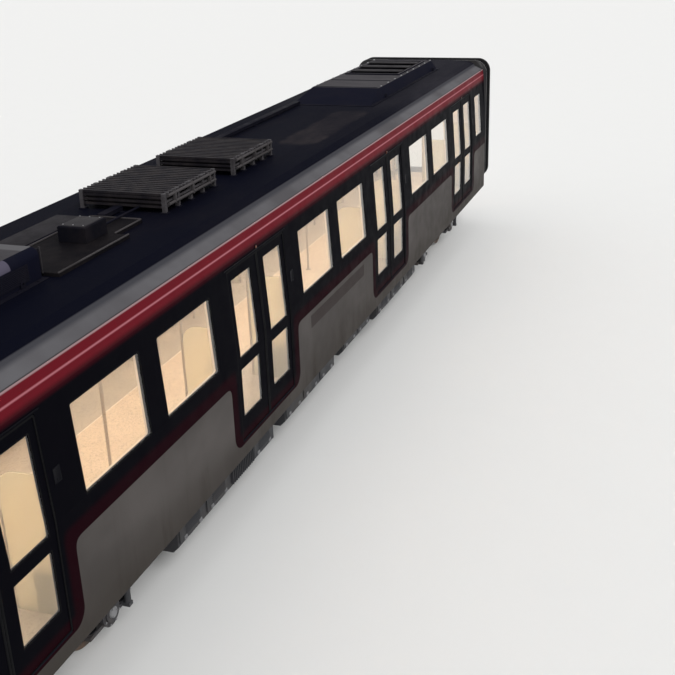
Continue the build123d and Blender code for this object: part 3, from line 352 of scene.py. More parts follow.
def end_ring(x, half_y, z0, z1, radius, width, thick):
    """Round-cornered ring across the car, centred on x."""
    ring_piece = flat_frame((x, 0, (z0 + z1) / 2), (0, pi / 2, 0), (z1 - z0, 2 * half_y), radius, 10, width,
                            thickness=thick, offset=0)
    return bevelled(ring_piece, 0.0025, 1)


def curve_points(points, radius, steps=4):
    """A run of points whose corners are rounded."""
    points = [Vector(point) for point in points]
    line = [points[0]]
    for before, corner, after in zip(points, points[1:], points[2:]):
        way_in = (before - corner).normalized() * radius
        way_out = (after - corner).normalized() * radius
        for step in range(steps + 1):
            t = step / steps
            line.append(corner + way_in * (1 - t) ** 2 + way_out * t ** 2)
    return line + [points[-1]]


def pipe(points, radius, bend=0.05):
    """A rigid tube along a run of points."""
    line = bpy.data.curves.new("pipe", "CURVE")
    line.dimensions = "3D"
    line.bevel_depth = radius
    line.bevel_resolution = 3
    line.use_fill_caps = True
    run = line.splines.new("POLY")
    rounded = curve_points(points, bend)
    run.points.add(len(rounded) - 1)
    for point, place in zip(run.points, rounded):
        point.co = (*place, 1)
    piece = bpy.data.objects.new("pipe", line)
    bpy.context.scene.collection.objects.link(piece)
    take(piece)
    bpy.ops.object.convert(target="MESH")
    return outward(bpy.context.active_object)


# Materials

# Gloss of paint that mirrors none of the sky, the tone of the moulded inside, and a fine grain: its scale,
# its depth in metres and its strength
MATT = 0.006
INSIDE_TONE = (0.74, 0.69, 0.60)
FINE = (180.0, 0.0006, 0.3)


class Value:
    """A number or colour that varies over a surface. Arithmetic with it adds nodes to its graph."""

    def __init__(self, graph, socket):
        self.graph, self.socket = graph, socket

    def math(self, operation, second=0.0, third=0.0):
        return self.graph.math(operation, self, second, third)

    def __abs__(self):
        return self.math("ABSOLUTE")

    def __add__(self, other):
        return self.math("ADD", other)

    def __sub__(self, other):
        return self.math("SUBTRACT", other)

    def __rsub__(self, other):
        return self.graph.math("SUBTRACT", other, self)

    def __mul__(self, other):
        return self.math("MULTIPLY", other)

    def scaled(self, low, high, to_low, to_high, kind="LINEAR"):
        """to_low at low, to_high at high, and clamped to these beyond them."""
        return self.graph.node("MapRange", 0, {"interpolation_type": kind}, i0=self, i1=low, i2=high,
                               i3=to_low, i4=to_high)

    def between(self, low, high):
        """From low to high over the middle of a noise."""
        return self.scaled(0.3, 0.7, low, high)

    def ramp(self, low, high):
        """A soft step from 0 at low to 1 at high, which may be the smaller one."""
        return self.scaled(low, high, 0.0, 1.0, "SMOOTHSTEP")


class Graph:
    """The node tree of one material."""

    def __init__(self, name):
        self.material = bpy.data.materials.new(name)
        self.material.use_nodes = True
        self.nodes = self.material.node_tree.nodes
        self.shader = self.nodes["Principled BSDF"]
        self.place = self.node("TexCoord", "Object")

    def node(self, kind, output=0, values=None, **inputs):
        """One output of a new node, by number or name."""
        node = self.nodes.new("ShaderNode" + kind)
        for key, value in (values or {}).items():
            setattr(node, key, value)
        for key, value in inputs.items():
            self.feed(node.inputs[int(key[1:]) if key[1:].isdigit() else key.replace("_", " ")], value)
        return Value(self, node.outputs[output])

    def feed(self, socket, value):
        if isinstance(value, Value):
            self.material.node_tree.links.new(value.socket, socket)
        elif socket.type == "RGBA" and len(value) == 3:
            socket.default_value = (*value, 1)
        else:
            socket.default_value = value

    def math(self, operation, a, b=0.0, c=0.0):
        return self.node("Math", 0, {"operation": operation}, i0=a, i1=b, i2=c)

    def axes(self):
        split = self.node("SeparateXYZ", i0=self.place).socket.node
        return [Value(self, socket) for socket in split.outputs]

    def upward(self, low=0.80, high=0.96):
        """1 where the surface looks up, 0 on its sides."""
        return self.node("SeparateXYZ", "Z", i0=self.node("NewGeometry", "True Normal")).ramp(low, high)

    def mix(self, share, a, b):
        return self.node("Mix", 2, {"data_type": "RGBA"}, i0=share, i6=a, i7=b)

    def noise(self, scale, detail=4.0, rough=0.55, stretch=(1, 1, 1)):
        place = self.node("Mapping", i0=self.place, i3=stretch)
        return self.node("TexNoise", "Fac", i0=place, Scale=scale, Detail=detail, Roughness=rough)

    def set(self, **values):
        for key, value in values.items():
            self.feed(self.shader.inputs[key.replace("_", " ")], value)

    def bump(self, height, distance, strength):
        self.set(Normal=self.node("Bump", Strength=strength, Distance=distance, Height=height))

    def finish(self, colour, rough, gloss=0.5, grain=FINE):
        """The material with its colour, roughness, gloss and grain."""
        self.set(Base_Color=colour, Roughness=rough, Specular_IOR_Level=gloss)
        if grain:
            scale, depth, strength = grain
            self.bump(self.noise(scale, 2.0), depth, strength)
        return self.material


def shade(colour, share):
    return tuple(share * part for part in colour)


def above_floor(z):
    return z.ramp(FLOOR_Z - 0.030, FLOOR_Z - 0.026)


def inside_saloon(x, z):
    """1 on what stands in the saloon, above its floor and between its end walls."""
    return abs(x).ramp(INNER_L + 0.004, INNER_L + 0.002) * above_floor(z)


def length_of(a, b):
    return (a * a + b * b).math("SQRT")


def car_paint(name, colour, rough, amount, dirt, gloss=0.12):
    """Sprayed paint under uneven dust, in soft patches and fine specks."""
    graph = Graph(name)
    patches = graph.noise(1.3, 6.0, 0.6).ramp(0.42, 0.75)
    specks = graph.noise(60.0, 3.0, 0.6).ramp(0.55, 0.8)
    share = ((patches + specks * 0.4) * amount).math("MINIMUM", 1.0)
    return graph.finish(graph.mix(share, colour, dirt),
                        graph.noise(7.0, 5.0).between(rough - 0.08, rough + 0.14),
                        gloss, (220.0, 0.0006, 0.25))


def plain_material(name, colour, rough, grain, vary, gloss=0.5, **others):
    """A moulded, rolled or coated surface: slight patches of tone and a fine grain."""
    graph = Graph(name)
    tone = graph.noise(4.0, 5.0).ramp(0.3, 0.75)
    graph.set(**others)
    return graph.finish(graph.mix(tone, shade(colour, 1 - vary), colour),
                        graph.noise(9.0, 4.0).between(rough - 0.07, rough + 0.07), gloss, grain)


def livery_material(livery):
    """Side paint: grey panels, dark band with rounded feet round the doors, and a line between them."""
    graph = Graph("side_livery")
    x, y, z = graph.axes()
    rise = z - SILL_Z
    corner = livery.corner
    side = (DOOR_PITCH / 2 - x.math("PINGPONG", DOOR_PITCH / 2)) - (livery.door_frame - corner)
    foot = -livery.door_drop + corner - rise
    far = length_of(side.math("MAXIMUM"), foot.math("MAXIMUM"))
    near = side.math("MAXIMUM", foot).math("MINIMUM")
    gap = (far + near - corner).math("SMOOTH_MIN", -livery.band_drop - rise, 0.16)
    panel = gap.ramp(-0.003, 0.003)
    line = gap.ramp(-livery.line - 0.03, -livery.line + 0.05)
    plate = x.math("COMPARE", 0.01, 1.11) * rise.math("COMPARE", -0.435, 0.085)
    patch = graph.noise(0.55, 3.0, 0.5, (1.0, 1.0, 1.6)).ramp(0.36, 0.64)
    worn = graph.mix(patch, shade(livery.panel, 0.80), shade(livery.panel, 1.16))
    paint = graph.mix(panel, graph.mix(line, livery.band, livery.edge), graph.mix(plate, worn, livery.plate))
    streaks = graph.noise(1.0, 6.0, 0.7, (2.2, 2.2, 0.35)).ramp(0.45, 0.8)
    # Dust streaks, and the side darker towards its foot and towards the rear end.
    low = rise.ramp(-0.55, BODY_Z0 - SILL_Z)
    dust = x.ramp(-3.0, -6.5) * 0.20 + (low * 0.62 + streaks * (low * 0.35 + 0.25))
    streaked_and_darkened = graph.mix(dust * (panel * 0.97 + 0.03), paint, (0.040, 0.035, 0.031))
    outside = graph.mix(rise.ramp(0.985, 1.045), streaked_and_darkened, (0.030, 0.003, 0.006))
    depth = HALF_W - (abs(y) + rise.math("MAXIMUM") * LEAN)
    lining = graph.mix(inside_saloon(x, z), (0.030, 0.028, 0.027), INSIDE_TONE)
    waves = graph.noise(0.9, 2.0, 0.5, (1.0, 1.0, 2.5))
    graph.bump(graph.noise(260.0, 2.0) * 0.05 + waves, 0.004, 0.35)
    return graph.finish(graph.mix(depth.ramp(0.0575, 0.0590), outside, lining),
                        graph.noise(5.0, 5.0).between(0.34, 0.52), MATT, None)


def cantrail_material(livery):
    """Red band with a soft pale line painted as the highlight along its bend, a darker foot, a pale edge
    below the gutter and a dark lip on it.
    """
    graph = Graph("cantrail_paint")
    _, y, z = graph.axes()
    rise = z - SILL_Z
    streaks = graph.noise(1.2, 6.0, 0.7, (3.0, 3.0, 0.3)).ramp(0.45, 0.8)
    paint = graph.mix(streaks * 0.30, livery.cantrail, (0.075, 0.010, 0.013))
    for share, tone in ((rise.ramp(1.100, 1.035), (0.034, 0.0045, 0.0070)),
                        # Painted highlight: the soft pale line along the bend of the band.
                        (abs(rise - 1.154).ramp(0.017, 0.001) * 0.85, (0.40, 0.140, 0.165)),
                        (rise.ramp(1.240, 1.254), (0.31, 0.200, 0.210)),
                        (rise.ramp(1.2645, 1.2665), (0.055, 0.050, 0.052)),
                        ((HALF_W - abs(y)).ramp(0.118, 0.122) * rise.ramp(1.225, 1.215), INSIDE_TONE)):
        paint = graph.mix(share, paint, tone)
    return graph.finish(paint, graph.noise(6.0, 5.0).between(0.34, 0.50), 0.015, (240.0, 0.0006, 0.2))


def roof_material(livery):
    """Light shoulders and a dark gritty covering between them, with a trodden patch of dust, and the covering
    paler towards the front from dust and a painted sheen.
    """
    graph = Graph("roof_covering")
    x, y, _ = graph.axes()
    across = abs(y)
    top = across.ramp(1.168, 1.160)
    stain = graph.noise(0.8, 7.0, 0.65, (0.6, 2.0, 1.0)).ramp(0.40, 0.75)
    dark = graph.mix(stain * 0.40, livery.roof, (0.010, 0.009, 0.012))
    patch = abs(x - 2.15).ramp(1.75, 1.05) * abs(y + 0.56).ramp(0.42, 0.20)
    trodden = (patch * graph.noise(2.4, 5.0, 0.7, (1.0, 1.4, 1.0))).ramp(0.22, 0.52) * (stain * 0.55 + 0.25)
    # Paler towards the front: dust, and a painted sheen in place of the gloss the covering lacks.
    front = x.ramp(2.8, 6.0) * (stain * 0.35 + 0.30)
    dust_and_light = graph.mix(front, graph.mix(trodden, dark, (0.036, 0.030, 0.031)), (0.034, 0.032, 0.039))
    wash = graph.noise(0.55, 4.0, 0.6).ramp(0.40, 0.66)
    washed = graph.mix(wash * 0.60, livery.shoulder, (0.060, 0.056, 0.060))
    pale = graph.mix(across.ramp(1.235, 1.170), washed, (0.050, 0.050, 0.058))
    seam = x.math("PINGPONG", 0.85).ramp(0.010, 0.0) * top
    graph.bump(seam * 2.0 + graph.noise(420.0, 2.0) * top, 0.002, 0.5)
    return graph.finish(graph.mix(top, pale, dust_and_light), 0.66, MATT, None)


def casing_material():
    """Roof casings: dust-streaked tops painted pale as painted light, ends and sides painted dark as painted
    shade, and shoulders and a band on the rear unit painted pale as light on their rounded edges.
    """
    graph = Graph("roof_casing_paint")
    x, _, z = graph.axes()
    end_x = REAR_UNIT[1]
    streaks = graph.noise(1.6, 7.0, 0.7, (1.6, 0.7, 1.0)).ramp(0.38, 0.72)
    # Painted light: the pale colour of the tops, under dust streaks.
    dust_and_light = graph.mix(streaks * 0.55, (0.060, 0.057, 0.062), (0.032, 0.030, 0.034))
    # Painted highlight along the rounded top corner at the rear unit's end.
    band = x.ramp(end_x - 0.16, end_x - 0.12) * x.ramp(end_x + 1.0, end_x + 0.5)
    top = graph.mix(band, dust_and_light, (0.105, 0.103, 0.110))
    # Painted shade: the dark colour of the ends and sides.
    dark = graph.mix(streaks * 0.25, (0.0055, 0.0060, 0.0130), (0.016, 0.014, 0.018))
    # Painted light on the rounded shoulders along the rear unit's sides.
    shoulder = x.ramp(end_x - 0.42, end_x - 0.43) * z.ramp(REAR_UNIT_Z1 - 0.095, REAR_UNIT_Z1 - 0.085)
    side = graph.mix(shoulder, dark, (0.080, 0.073, 0.104))
    on_top = graph.upward(0.976, 0.990) * z.ramp(ROOF_Z + 0.125, ROOF_Z + 0.150)
    return graph.finish(graph.mix(on_top, side, top), 0.62, MATT, (160.0, 0.0006, 0.3))


def rack_material():
    """Resistor racks: pale galvanised frame, dark scorched core."""
    graph = Graph("rack_steel")
    y = graph.axes()[1]
    on_frame = abs(y).ramp(RACK_HALF_W - 0.052, RACK_HALF_W - 0.046)
    stain = graph.noise(6.0, 6.0, 0.7).ramp(0.35, 0.70)
    pale = graph.mix(stain * 0.7, (0.068, 0.064, 0.069), (0.026, 0.023, 0.025))
    dark = graph.mix(stain, (0.010, 0.009, 0.012), (0.026, 0.022, 0.023))
    return graph.finish(graph.mix(on_frame, dark, pale), 0.60, 0.05, (140.0, 0.0008, 0.3))


def tray_material():
    """Junction box and tray: lid painted pale as painted light, sides painted dark as painted shade, and a
    brownish tray.
    """
    graph = Graph("tray_paint")
    z = graph.axes()[2]
    stain = graph.noise(2.2, 7.0, 0.7).ramp(0.35, 0.72)
    tray = graph.mix(stain, (0.006, 0.0055, 0.007), (0.014, 0.012, 0.013))
    side = graph.mix(stain, (0.006, 0.006, 0.009), (0.014, 0.012, 0.014))
    lid = graph.mix(stain * 0.5, (0.026, 0.024, 0.029), (0.015, 0.013, 0.015))
    # Painted light on the upward faces high on the box, painted shade on the rest of it.
    top = graph.mix(graph.upward() * z.ramp(ROOF_Z + 0.15, ROOF_Z + 0.17), side, lid)
    low = z.ramp(ROOF_Z + 0.050, ROOF_Z + 0.040)
    return graph.finish(graph.mix(low, top, tray), 0.62, MATT)


def gangway_material():
    """Pale lining inside the passage and saloon, dark coated frames and end panels outside it."""
    graph = Graph("gangway_lining")
    x, y, z = graph.axes()
    passage = (abs(y).ramp(PASSAGE_HALF_W + 0.030, PASSAGE_HALF_W + 0.026)
               * z.ramp(FLOOR_Z + PASSAGE_H + 0.030, FLOOR_Z + PASSAGE_H + 0.026)
               * above_floor(z))
    behind_face = abs(x).ramp(FACE_X - 0.0085, FACE_X - 0.0095)
    pale = (passage * behind_face).math("MAXIMUM", inside_saloon(x, z))
    tone = graph.noise(4.0, 5.0).ramp(0.3, 0.75)
    lining = graph.mix(tone, (0.66, 0.62, 0.55), (0.74, 0.70, 0.63))
    grime = graph.mix(tone, (0.012, 0.012, 0.014), (0.030, 0.028, 0.028))
    return graph.finish(graph.mix(pale, grime, lining), 0.48, 0.25)


def glass_material(name, tint, smear=0.04, clear=1.0):
    graph = Graph(name)
    graph.set(Transmission_Weight=clear, IOR=1.45)
    return graph.finish(tint, graph.noise(3.0, 6.0, 0.6).scaled(0.45, 0.8, 0.0, smear), 0.15, None)


def lamp_material(cabin):
    """Lit diffuser with fine prisms across it."""
    graph = Graph("lamp_diffuser")
    graph.set(Emission_Color=cabin.glow, Emission_Strength=cabin.power)
    graph.bump(graph.axes()[0].math("PINGPONG", 0.012), 0.002, 0.4)
    return graph.finish((0.9, 0.88, 0.84), 0.5, grain=None)


def wheel_material():
    """Rolled steel, bright on the tread and brown with dust towards the hub."""
    graph = Graph("wheel_steel")
    x, _, z = graph.axes()
    radius = length_of(abs(abs(x) - BOGIE_X) - HALF_WHEELBASE, z - AXLE_Z)
    tread = radius.ramp(TREAD_R - 0.012, TREAD_R - 0.005)
    rust = graph.mix(graph.noise(14.0, 6.0).ramp(0.35, 0.7), (0.075, 0.055, 0.045), (0.13, 0.085, 0.06))
    graph.set(Metallic=tread * 0.6 + 0.4)
    graph.bump(radius.math("PINGPONG", 0.0025), 0.0006, 0.4)
    return graph.finish(graph.mix(tread, rust, (0.50, 0.49, 0.48)), tread * -0.42 + 0.70, grain=None)


def cloth_material():
    """Coated bellows cloth with a fine weave and dust in the folds."""
    graph = Graph("bellows_cloth")
    _, y, z = graph.axes()
    weave = (y + z).math("PINGPONG", 0.002) * (y - z).math("PINGPONG", 0.002)
    dust = graph.noise(3.0, 6.0, 0.65).ramp(0.45, 0.8)
    graph.bump(weave * 90000.0 + graph.noise(12.0, 3.0), 0.002, 0.4)
    return graph.finish(graph.mix(dust * 0.5, (0.010, 0.010, 0.011), (0.045, 0.042, 0.040)), 0.72, grain=None)


def floor_sheet_material():
    """Speckled sheet on the saloon floor: a light way along the middle, a darker strip under the seats, and a
    pale line between them painted as a highlight.
    """
    graph = Graph("floor_sheet")
    _, y, z = graph.axes()
    cells = graph.node("TexVoronoi", "Color", i0=graph.place, Scale=90.0)
    specks = graph.node("SeparateColor", i0=cells).ramp(0.80, 0.82) * 0.45
    worn = graph.noise(2.0, 5.0).ramp(0.4, 0.7)
    middle = graph.mix(worn, (0.60, 0.50, 0.37), (0.66, 0.56, 0.42))
    beside = graph.mix(worn, (0.40, 0.36, 0.29), (0.46, 0.41, 0.33))
    way = graph.mix(abs(y).ramp(0.448, 0.442), beside, middle)
    # Painted highlight: a pale line where the way meets the darker strip.
    way_and_highlight = graph.mix(abs(y).math("COMPARE", 0.445, 0.006), way, (0.82, 0.78, 0.66))
    sheet = graph.mix(specks, way_and_highlight, (0.22, 0.20, 0.19))
    underside = graph.mix(worn, (0.030, 0.030, 0.033), (0.050, 0.046, 0.043))
    below = z.ramp(FLOOR_Z - 0.012, FLOOR_Z - 0.016)
    return graph.finish(graph.mix(below, sheet, underside), 0.45, grain=(300.0, 0.0005, 0.3))


def brushed_material():
    graph = Graph("brushed_steel")
    lines = graph.noise(60.0, 4.0, 0.6, (20.0, 20.0, 0.4))
    graph.set(Metallic=1.0)
    graph.bump(lines, 0.0002, 0.3)
    return graph.finish((0.56, 0.52, 0.47), lines.between(0.22, 0.38), grain=None)


MATERIALS = {}


def make_materials(livery, cabin):
    MATERIALS.update({
        "livery": livery_material(livery),
        "cantrail": cantrail_material(livery),
        "roof": roof_material(livery),
        "glass": glass_material("window_glass", (0.935, 0.875, 0.790)),
        "screen": glass_material("screen_glass", (0.92, 0.88, 0.70), 0.30, 0.55),
        "lamp": lamp_material(cabin),
        "floor": floor_sheet_material(),
        "steel": brushed_material(),
        "cloth": cloth_material(),
        "casing": casing_material(),
        "rack": rack_material(),
        "tray": tray_material(),
        "gangway": gangway_material(),
        "wheel": wheel_material(),
    })
    # Finish: name, colour, roughness, share of dirt, its colour, and gloss
    for finish, *values in (
            # The chassis and equipment colours are dark paint made darker still as painted shade under the
            # car.
            ("chassis", "chassis_paint", (0.035, 0.035, 0.038), 0.55, 0.45, (0.075, 0.060, 0.048)),
            ("bogie", "bogie_paint", (0.045, 0.045, 0.050), 0.52, 0.60, (0.095, 0.070, 0.050)),
            ("casting", "cast_housings", (0.060, 0.060, 0.062), 0.60, 0.55, (0.090, 0.066, 0.048)),
            ("equipment", "equipment_paint", (0.036, 0.037, 0.041), 0.50, 0.40, (0.060, 0.050, 0.042)),
            ("tank", "tank_paint", (0.040, 0.041, 0.045), 0.40, 0.30, (0.065, 0.052, 0.042)),
            ("duct", "duct_paint", (0.007, 0.007, 0.012), 0.60, 0.5, (0.016, 0.014, 0.017), 0.01),
            ("pipework", "pipework_paint", (0.050, 0.050, 0.056), 0.50, 0.5, (0.085, 0.070, 0.060)),
            ("pale_casing", "pale_casing_paint", (0.040, 0.038, 0.041), 0.55, 0.70, (0.018, 0.016, 0.018),
             0.01),
            ("pale_edge", "pale_edge_paint", (0.062, 0.057, 0.059), 0.55, 0.70, (0.026, 0.023, 0.024), 0.02)):
        MATERIALS[finish] = car_paint(*values)
    # Finish: name, colour, roughness, grain, how much the tone varies, and what else differs
    for finish, name, tone, rough, grain, vary, other in (
            ("lining", "lining_moulding", (0.78, 0.73, 0.64), 0.42, FINE, 0.12, {}),
            ("seat", "seat_moulding", (0.66, 0.56, 0.42), 0.35, FINE, 0.12,
             {"Coat_Weight": 0.2, "Coat_Roughness": 0.1}),
            ("rubber", "black_rubber", (0.006, 0.006, 0.007), 0.7, (90.0, 0.001, 0.35), 0.3, {"gloss": 0.03}),
            ("axle", "oiled_steel", (0.16, 0.145, 0.13), 0.42, (120.0, 0.0005, 0.3), 0.35, {"Metallic": 0.7}),
            ("band", "band_paint", (0.004, 0.004, 0.006), 0.45, FINE, 0.12, {"gloss": 0.03}),
            ("amber", "amber_lens", (0.110, 0.030, 0.012), 0.22, FINE, 0.12, {"gloss": 0.3}),
            ("mat", "grit_mat", (0.020, 0.018, 0.022), 0.85, (500.0, 0.002, 0.6), 0.4, {"gloss": 0.1}),
            ("strap", "strap_webbing", (0.060, 0.050, 0.045), 0.80, (400.0, 0.001, 0.5), 0.3, {}),
            ("zinc", "zinc_plate", (0.30, 0.30, 0.31), 0.42, (150.0, 0.0004, 0.3), 0.3, {"Metallic": 0.8}),
            ("insulator", "insulator_resin", (0.150, 0.060, 0.035), 0.30, FINE, 0.12, {"gloss": 0.6})):
        MATERIALS[finish] = plain_material(name, tone, rough, grain, vary, **other)


FRAME_FINISHES = {
    "livery": "side_wall_near side_wall_far door_leaves_near door_leaves_far",
    "cantrail": "cantrails",
    "roof": "roof_shell",
    "glass": "window_glass door_glass",
    "screen": "draught_screens",
    "lamp": "light_strips",
    "lining": "ceiling",
    "gangway": "gangway_tunnel_front gangway_tunnel_rear end_wall_front end_wall_rear",
    "seat": "seats_near seats_far",
    "floor": "floor_panel",
    "steel": "grab_rails",
    "cloth": "gangway_bellows_front gangway_bellows_rear",
    "rubber": "suspension_springs_front suspension_springs_rear",
    "chassis": "underframe centre_pivots drawbar_pockets drawbar_front drawbar_rear",
    "bogie": "bogie_frame_front bogie_frame_rear axle_boxes_front axle_boxes_rear",
    "casting": "drive_units_front drive_units_rear brake_units_front brake_units_rear",
    "equipment": "traction_inverter auxiliary_converter battery_box brake_control_box compressor_box",
    "casing": "air_conditioners",
    "rack": "resistor_racks",
    "tray": "roof_junction_box",
    "tank": "air_reservoirs dampers_front dampers_rear",
    "axle": "axle_1 axle_2 axle_3 axle_4",
    "wheel": "wheels_1 wheels_2 wheels_3 wheels_4",
}


class METRO_OT_finishes(bpy.types.Operator):
    """Gives every solid of the car its finish"""
    bl_idname = "metro.finishes"
    bl_label = "Finishes"

    def execute(self, context):
        make_materials(context.scene.metro_livery, context.scene.metro_cabin)
        for finish, names in FRAME_FINISHES.items():
            for name in names.split():
                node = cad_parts[name]
                if not node.material_slots:
                    node.data.materials.append(MATERIALS[finish])
                for held in node.material_slots:
                    held.material = MATERIALS[finish]
        return {"FINISHED"}


def fixed(piece, name, slot, finish, body="body"):
    """Name, shading, finish and body of a piece that is done. Its slot is not used."""
    piece.name = name
    piece.data.name = name
    take(piece)
    bpy.ops.object.shade_smooth_by_angle(angle=SMOOTH_BELOW)
    piece.data.materials.clear()
    piece.data.materials.append(MATERIALS[finish])
    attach(piece, body)
    return piece


class Fittings:
    """Makes the fittings of a group. Its rows hold a function, then name, slot and finish of each piece."""

    def execute(self, context):
        for make, *rows in self.rows:
            pieces = make()
            for piece, row_text in zip(pieces if isinstance(pieces, tuple) else (pieces,), rows):
                fixed(piece, *row_text.split())
        return {"FINISHED"}


# Fittings of the sides


def window_seals():
    seal = at_windows(gasket(WINDOW_NEAR, WINDOW_FAR, SILL_Z, WINDOW_TOP_Z, 0.032, 0.018, 0.001, 0.006))
    end = mirrored(gasket(*END_WINDOW, SILL_Z, WINDOW_TOP_Z, 0.032, 0.018, 0.001, 0.006), "x")
    return mirrored(leaned(joined([seal, end])))


def door_pane_seals():
    seals = [gasket(PANE_NEAR, PANE_FAR, SILL_Z + low, SILL_Z + high, 0.022, 0.014, DOOR_RECESS + 0.001,
                    0.006) for low, high in PANE_RISES]
    return mirrored(leaned(at_doors(mirrored(joined(seals), "x"))))


def door_edge_rubbers():
    """Nosings where the leaves meet, and the seal round each doorway."""
    y = -HALF_W + DOOR_RECESS
    nosing = slab((0.002, y - 0.005, DOOR_Z0 + 0.008), (0.030, y + 0.002, DOOR_Z1 - 0.006), 0.0025)
    seal = gasket(-DOOR_HALF_W, DOOR_HALF_W, DOOR_Z0, DOOR_Z1, 0.03, 0.020, 0.002, 0.009)
    return mirrored(leaned(at_doors(joined([mirrored(nosing, "x"), seal]))))


def door_thresholds():
    """Ribbed step plate in front of the leaves' feet."""
    half = DOOR_HALF_W - 0.02
    plate = slab((-half, -HALF_W + 0.0005, DOOR_Z0), (half, -HALF_W + 0.0095, DOOR_Z0 + 0.012), 0.002)
    rib = slab((-half + 0.02, -HALF_W + 0.070, DOOR_Z0 + 0.0002),
               (half - 0.02, -HALF_W + 0.110, FLOOR_Z + 0.004), 0.002)
    return mirrored(at_doors(joined([plate, rib])))


def door_drips():
    """Drip strip over each doorway."""
    z = DOOR_Z1 + 0.014
    strip = inset(cube((-0.86, -HALF_W - 0.007, z), (0.86, -HALF_W + 0.002, z + 0.012)), OUT, 0.004, -0.003)
    return mirrored(at_doors(leaned(bevelled(strip, 0.0015, 1))))


def door_lamps():
    """Status lamp over each doorway, in a round bezel."""
    z = (DOOR_Z1 + CANTRAIL_Z) / 2 + 0.008
    y = -HALF_W + (z - SILL_Z) * LEAN
    bezel = bevelled(inset(rod((0, y + 0.004, z), (0, y - 0.006, z), 0.028, 24), OUT, 0.007), 0.0015, 1)
    lens = rod((0, y - 0.003, z), (0, y - 0.011, z), 0.020, 24, 0.014)
    bevelled(lens, 0.002, 2, lambda edge: all(vertex.co.y < y - 0.01 for vertex in edge.verts))
    return mirrored(at_doors(bezel)), mirrored(at_doors(lens))


def release_covers():
    """Flap over the outside door release, on the pier beside each doorway."""
    z = SILL_Z + 0.30
    flap = inset(slab((0.87, -HALF_W - 0.005, z), (0.97, -HALF_W + 0.002, z + 0.14), 0.004), OUT,
                 0.008, -0.002)
    lock = rod((0.92, -HALF_W - 0.002, z + 0.03), (0.92, -HALF_W - 0.006, z + 0.03), 0.009, edge=0.001)
    return mirrored(leaned(at_doors(joined([flap, lock]))))


def skirt_lips():
    """Folded lip along the foot of each side, stopped at the rounded ends."""
    x = HALF_L - 0.12
    return mirrored(slab((-x, -HALF_W + 0.004, BODY_Z0 - 0.010), (x, -HALF_W + 0.066, BODY_Z0 + 0.001),
                         0.003))


def gutter_outlets():
    """Small spouts at the ends of the gutters."""
    y, z = -HALF_W + 0.092, SILL_Z + 1.250
    spout = slab((HALF_L - 0.20, y - 0.008, z - 0.020), (HALF_L - 0.16, y + 0.006, z + 0.014), 0.003)
    return mirrored(inset(spout, DOWN, 0.003, -0.008), "xy")


class METRO_OT_side_fittings(Fittings, bpy.types.Operator):
    """Adds the seals, thresholds, drips, lamps and covers of both sides"""
    bl_idname = "metro.side_fittings"
    bl_label = "Side fittings"
    rows = ((window_seals, "window_seals rubber rubber"),
            (door_pane_seals, "door_pane_seals rubber rubber"),
            (door_edge_rubbers, "door_edge_rubbers rubber rubber"),
            (door_thresholds, "door_thresholds chassis duct"),
            (door_drips, "door_drips door_paint band"),
            (door_lamps, "door_lamps rubber rubber", "door_lamp_lenses light_diffuser amber"),
            (release_covers, "release_covers door_paint band"),
            (skirt_lips, "skirt_lips chassis chassis"),
            (gutter_outlets, "gutter_outlets roof_paint pale_edge"))


# Fittings of the roof


def roof_mats():
    """Anti-slip mat to walk on, beside the junction box."""
    return slab((-5.10, 0.30, ROOF_Z - 0.001), (-3.28, 0.66, ROOF_Z + 0.006), 0.002)


def roof_ducts():
    """Cable ducts with lids and feet, along the roof between the units."""
    ducts = []
    for x0, x1, y in ((-3.35, -2.95, 0.05), (-1.72, -1.15, 0.05), (0.04, 3.96, 0.60)):
        ducts += [slab((x0, y - 0.045, ROOF_Z + 0.010), (x1, y + 0.045, ROOF_Z + 0.058), 0.005),
                  slab((x0 + 0.01, y - 0.052, ROOF_Z + 0.056), (x1 - 0.01, y + 0.052, ROOF_Z + 0.064), 0.002)]
        ducts += [slab((x - 0.02, y - 0.075, ROOF_Z - 0.001), (x + 0.02, y + 0.075, ROOF_Z + 0.012), 0.002)
                  for x in evenly(x0 + 0.06, x1 - 0.06, max(2, round((x1 - x0) / 0.8)))]
    return joined(ducts)


def unit_bolts():
    """Bolts along the feet of the roof units."""
    rows = ((AC_FOOT, 0.12, 16, AC_HALF_W), (REAR_UNIT, 0.10, 12, REAR_UNIT_HALF_W))
    return bolts(UP, 0.014, 0.012, [(x, s * (half_w + 0.030), ROOF_Z) for (x0, x1), end, count, half_w in rows
                                    for x in evenly(x0 + end, x1 - end, count) for s in (-1, 1)])


def unit_flanges():
    """Foot flanges under the roof units."""
    return joined([slab((x0 - 0.03, -half_w - 0.06, ROOF_Z - 0.001),
                        (x1 + 0.03, half_w + 0.06, ROOF_Z + 0.008), 0.002)
                   for (x0, x1), half_w in ((AC_FOOT, AC_HALF_W), (REAR_UNIT, REAR_UNIT_HALF_W))])


def lifting_lugs():
    """Drilled lugs at the corners of the roof units."""
    lug = slab((-0.035, -0.006, -0.02), (0.035, 0.006, 0.075), 0.004)
    hole = rod((0, -0.02, 0.045), (0, 0.02, 0.045), 0.014)
    modified(lug, "BOOLEAN", object=hole, operation="DIFFERENCE")
    bpy.data.objects.remove(hole)
    return at_places(lug, [(x, s * y, ROOF_Z) for xs, y in (
        ((AC_FOOT[0] + 0.9, AC_FOOT[1] - 0.35), AC_HALF_W + 0.015),
        ((REAR_UNIT[0] + 0.3, REAR_UNIT[1] - 0.3), REAR_UNIT_HALF_W + 0.012)) for x in xs for s in (-1, 1)])


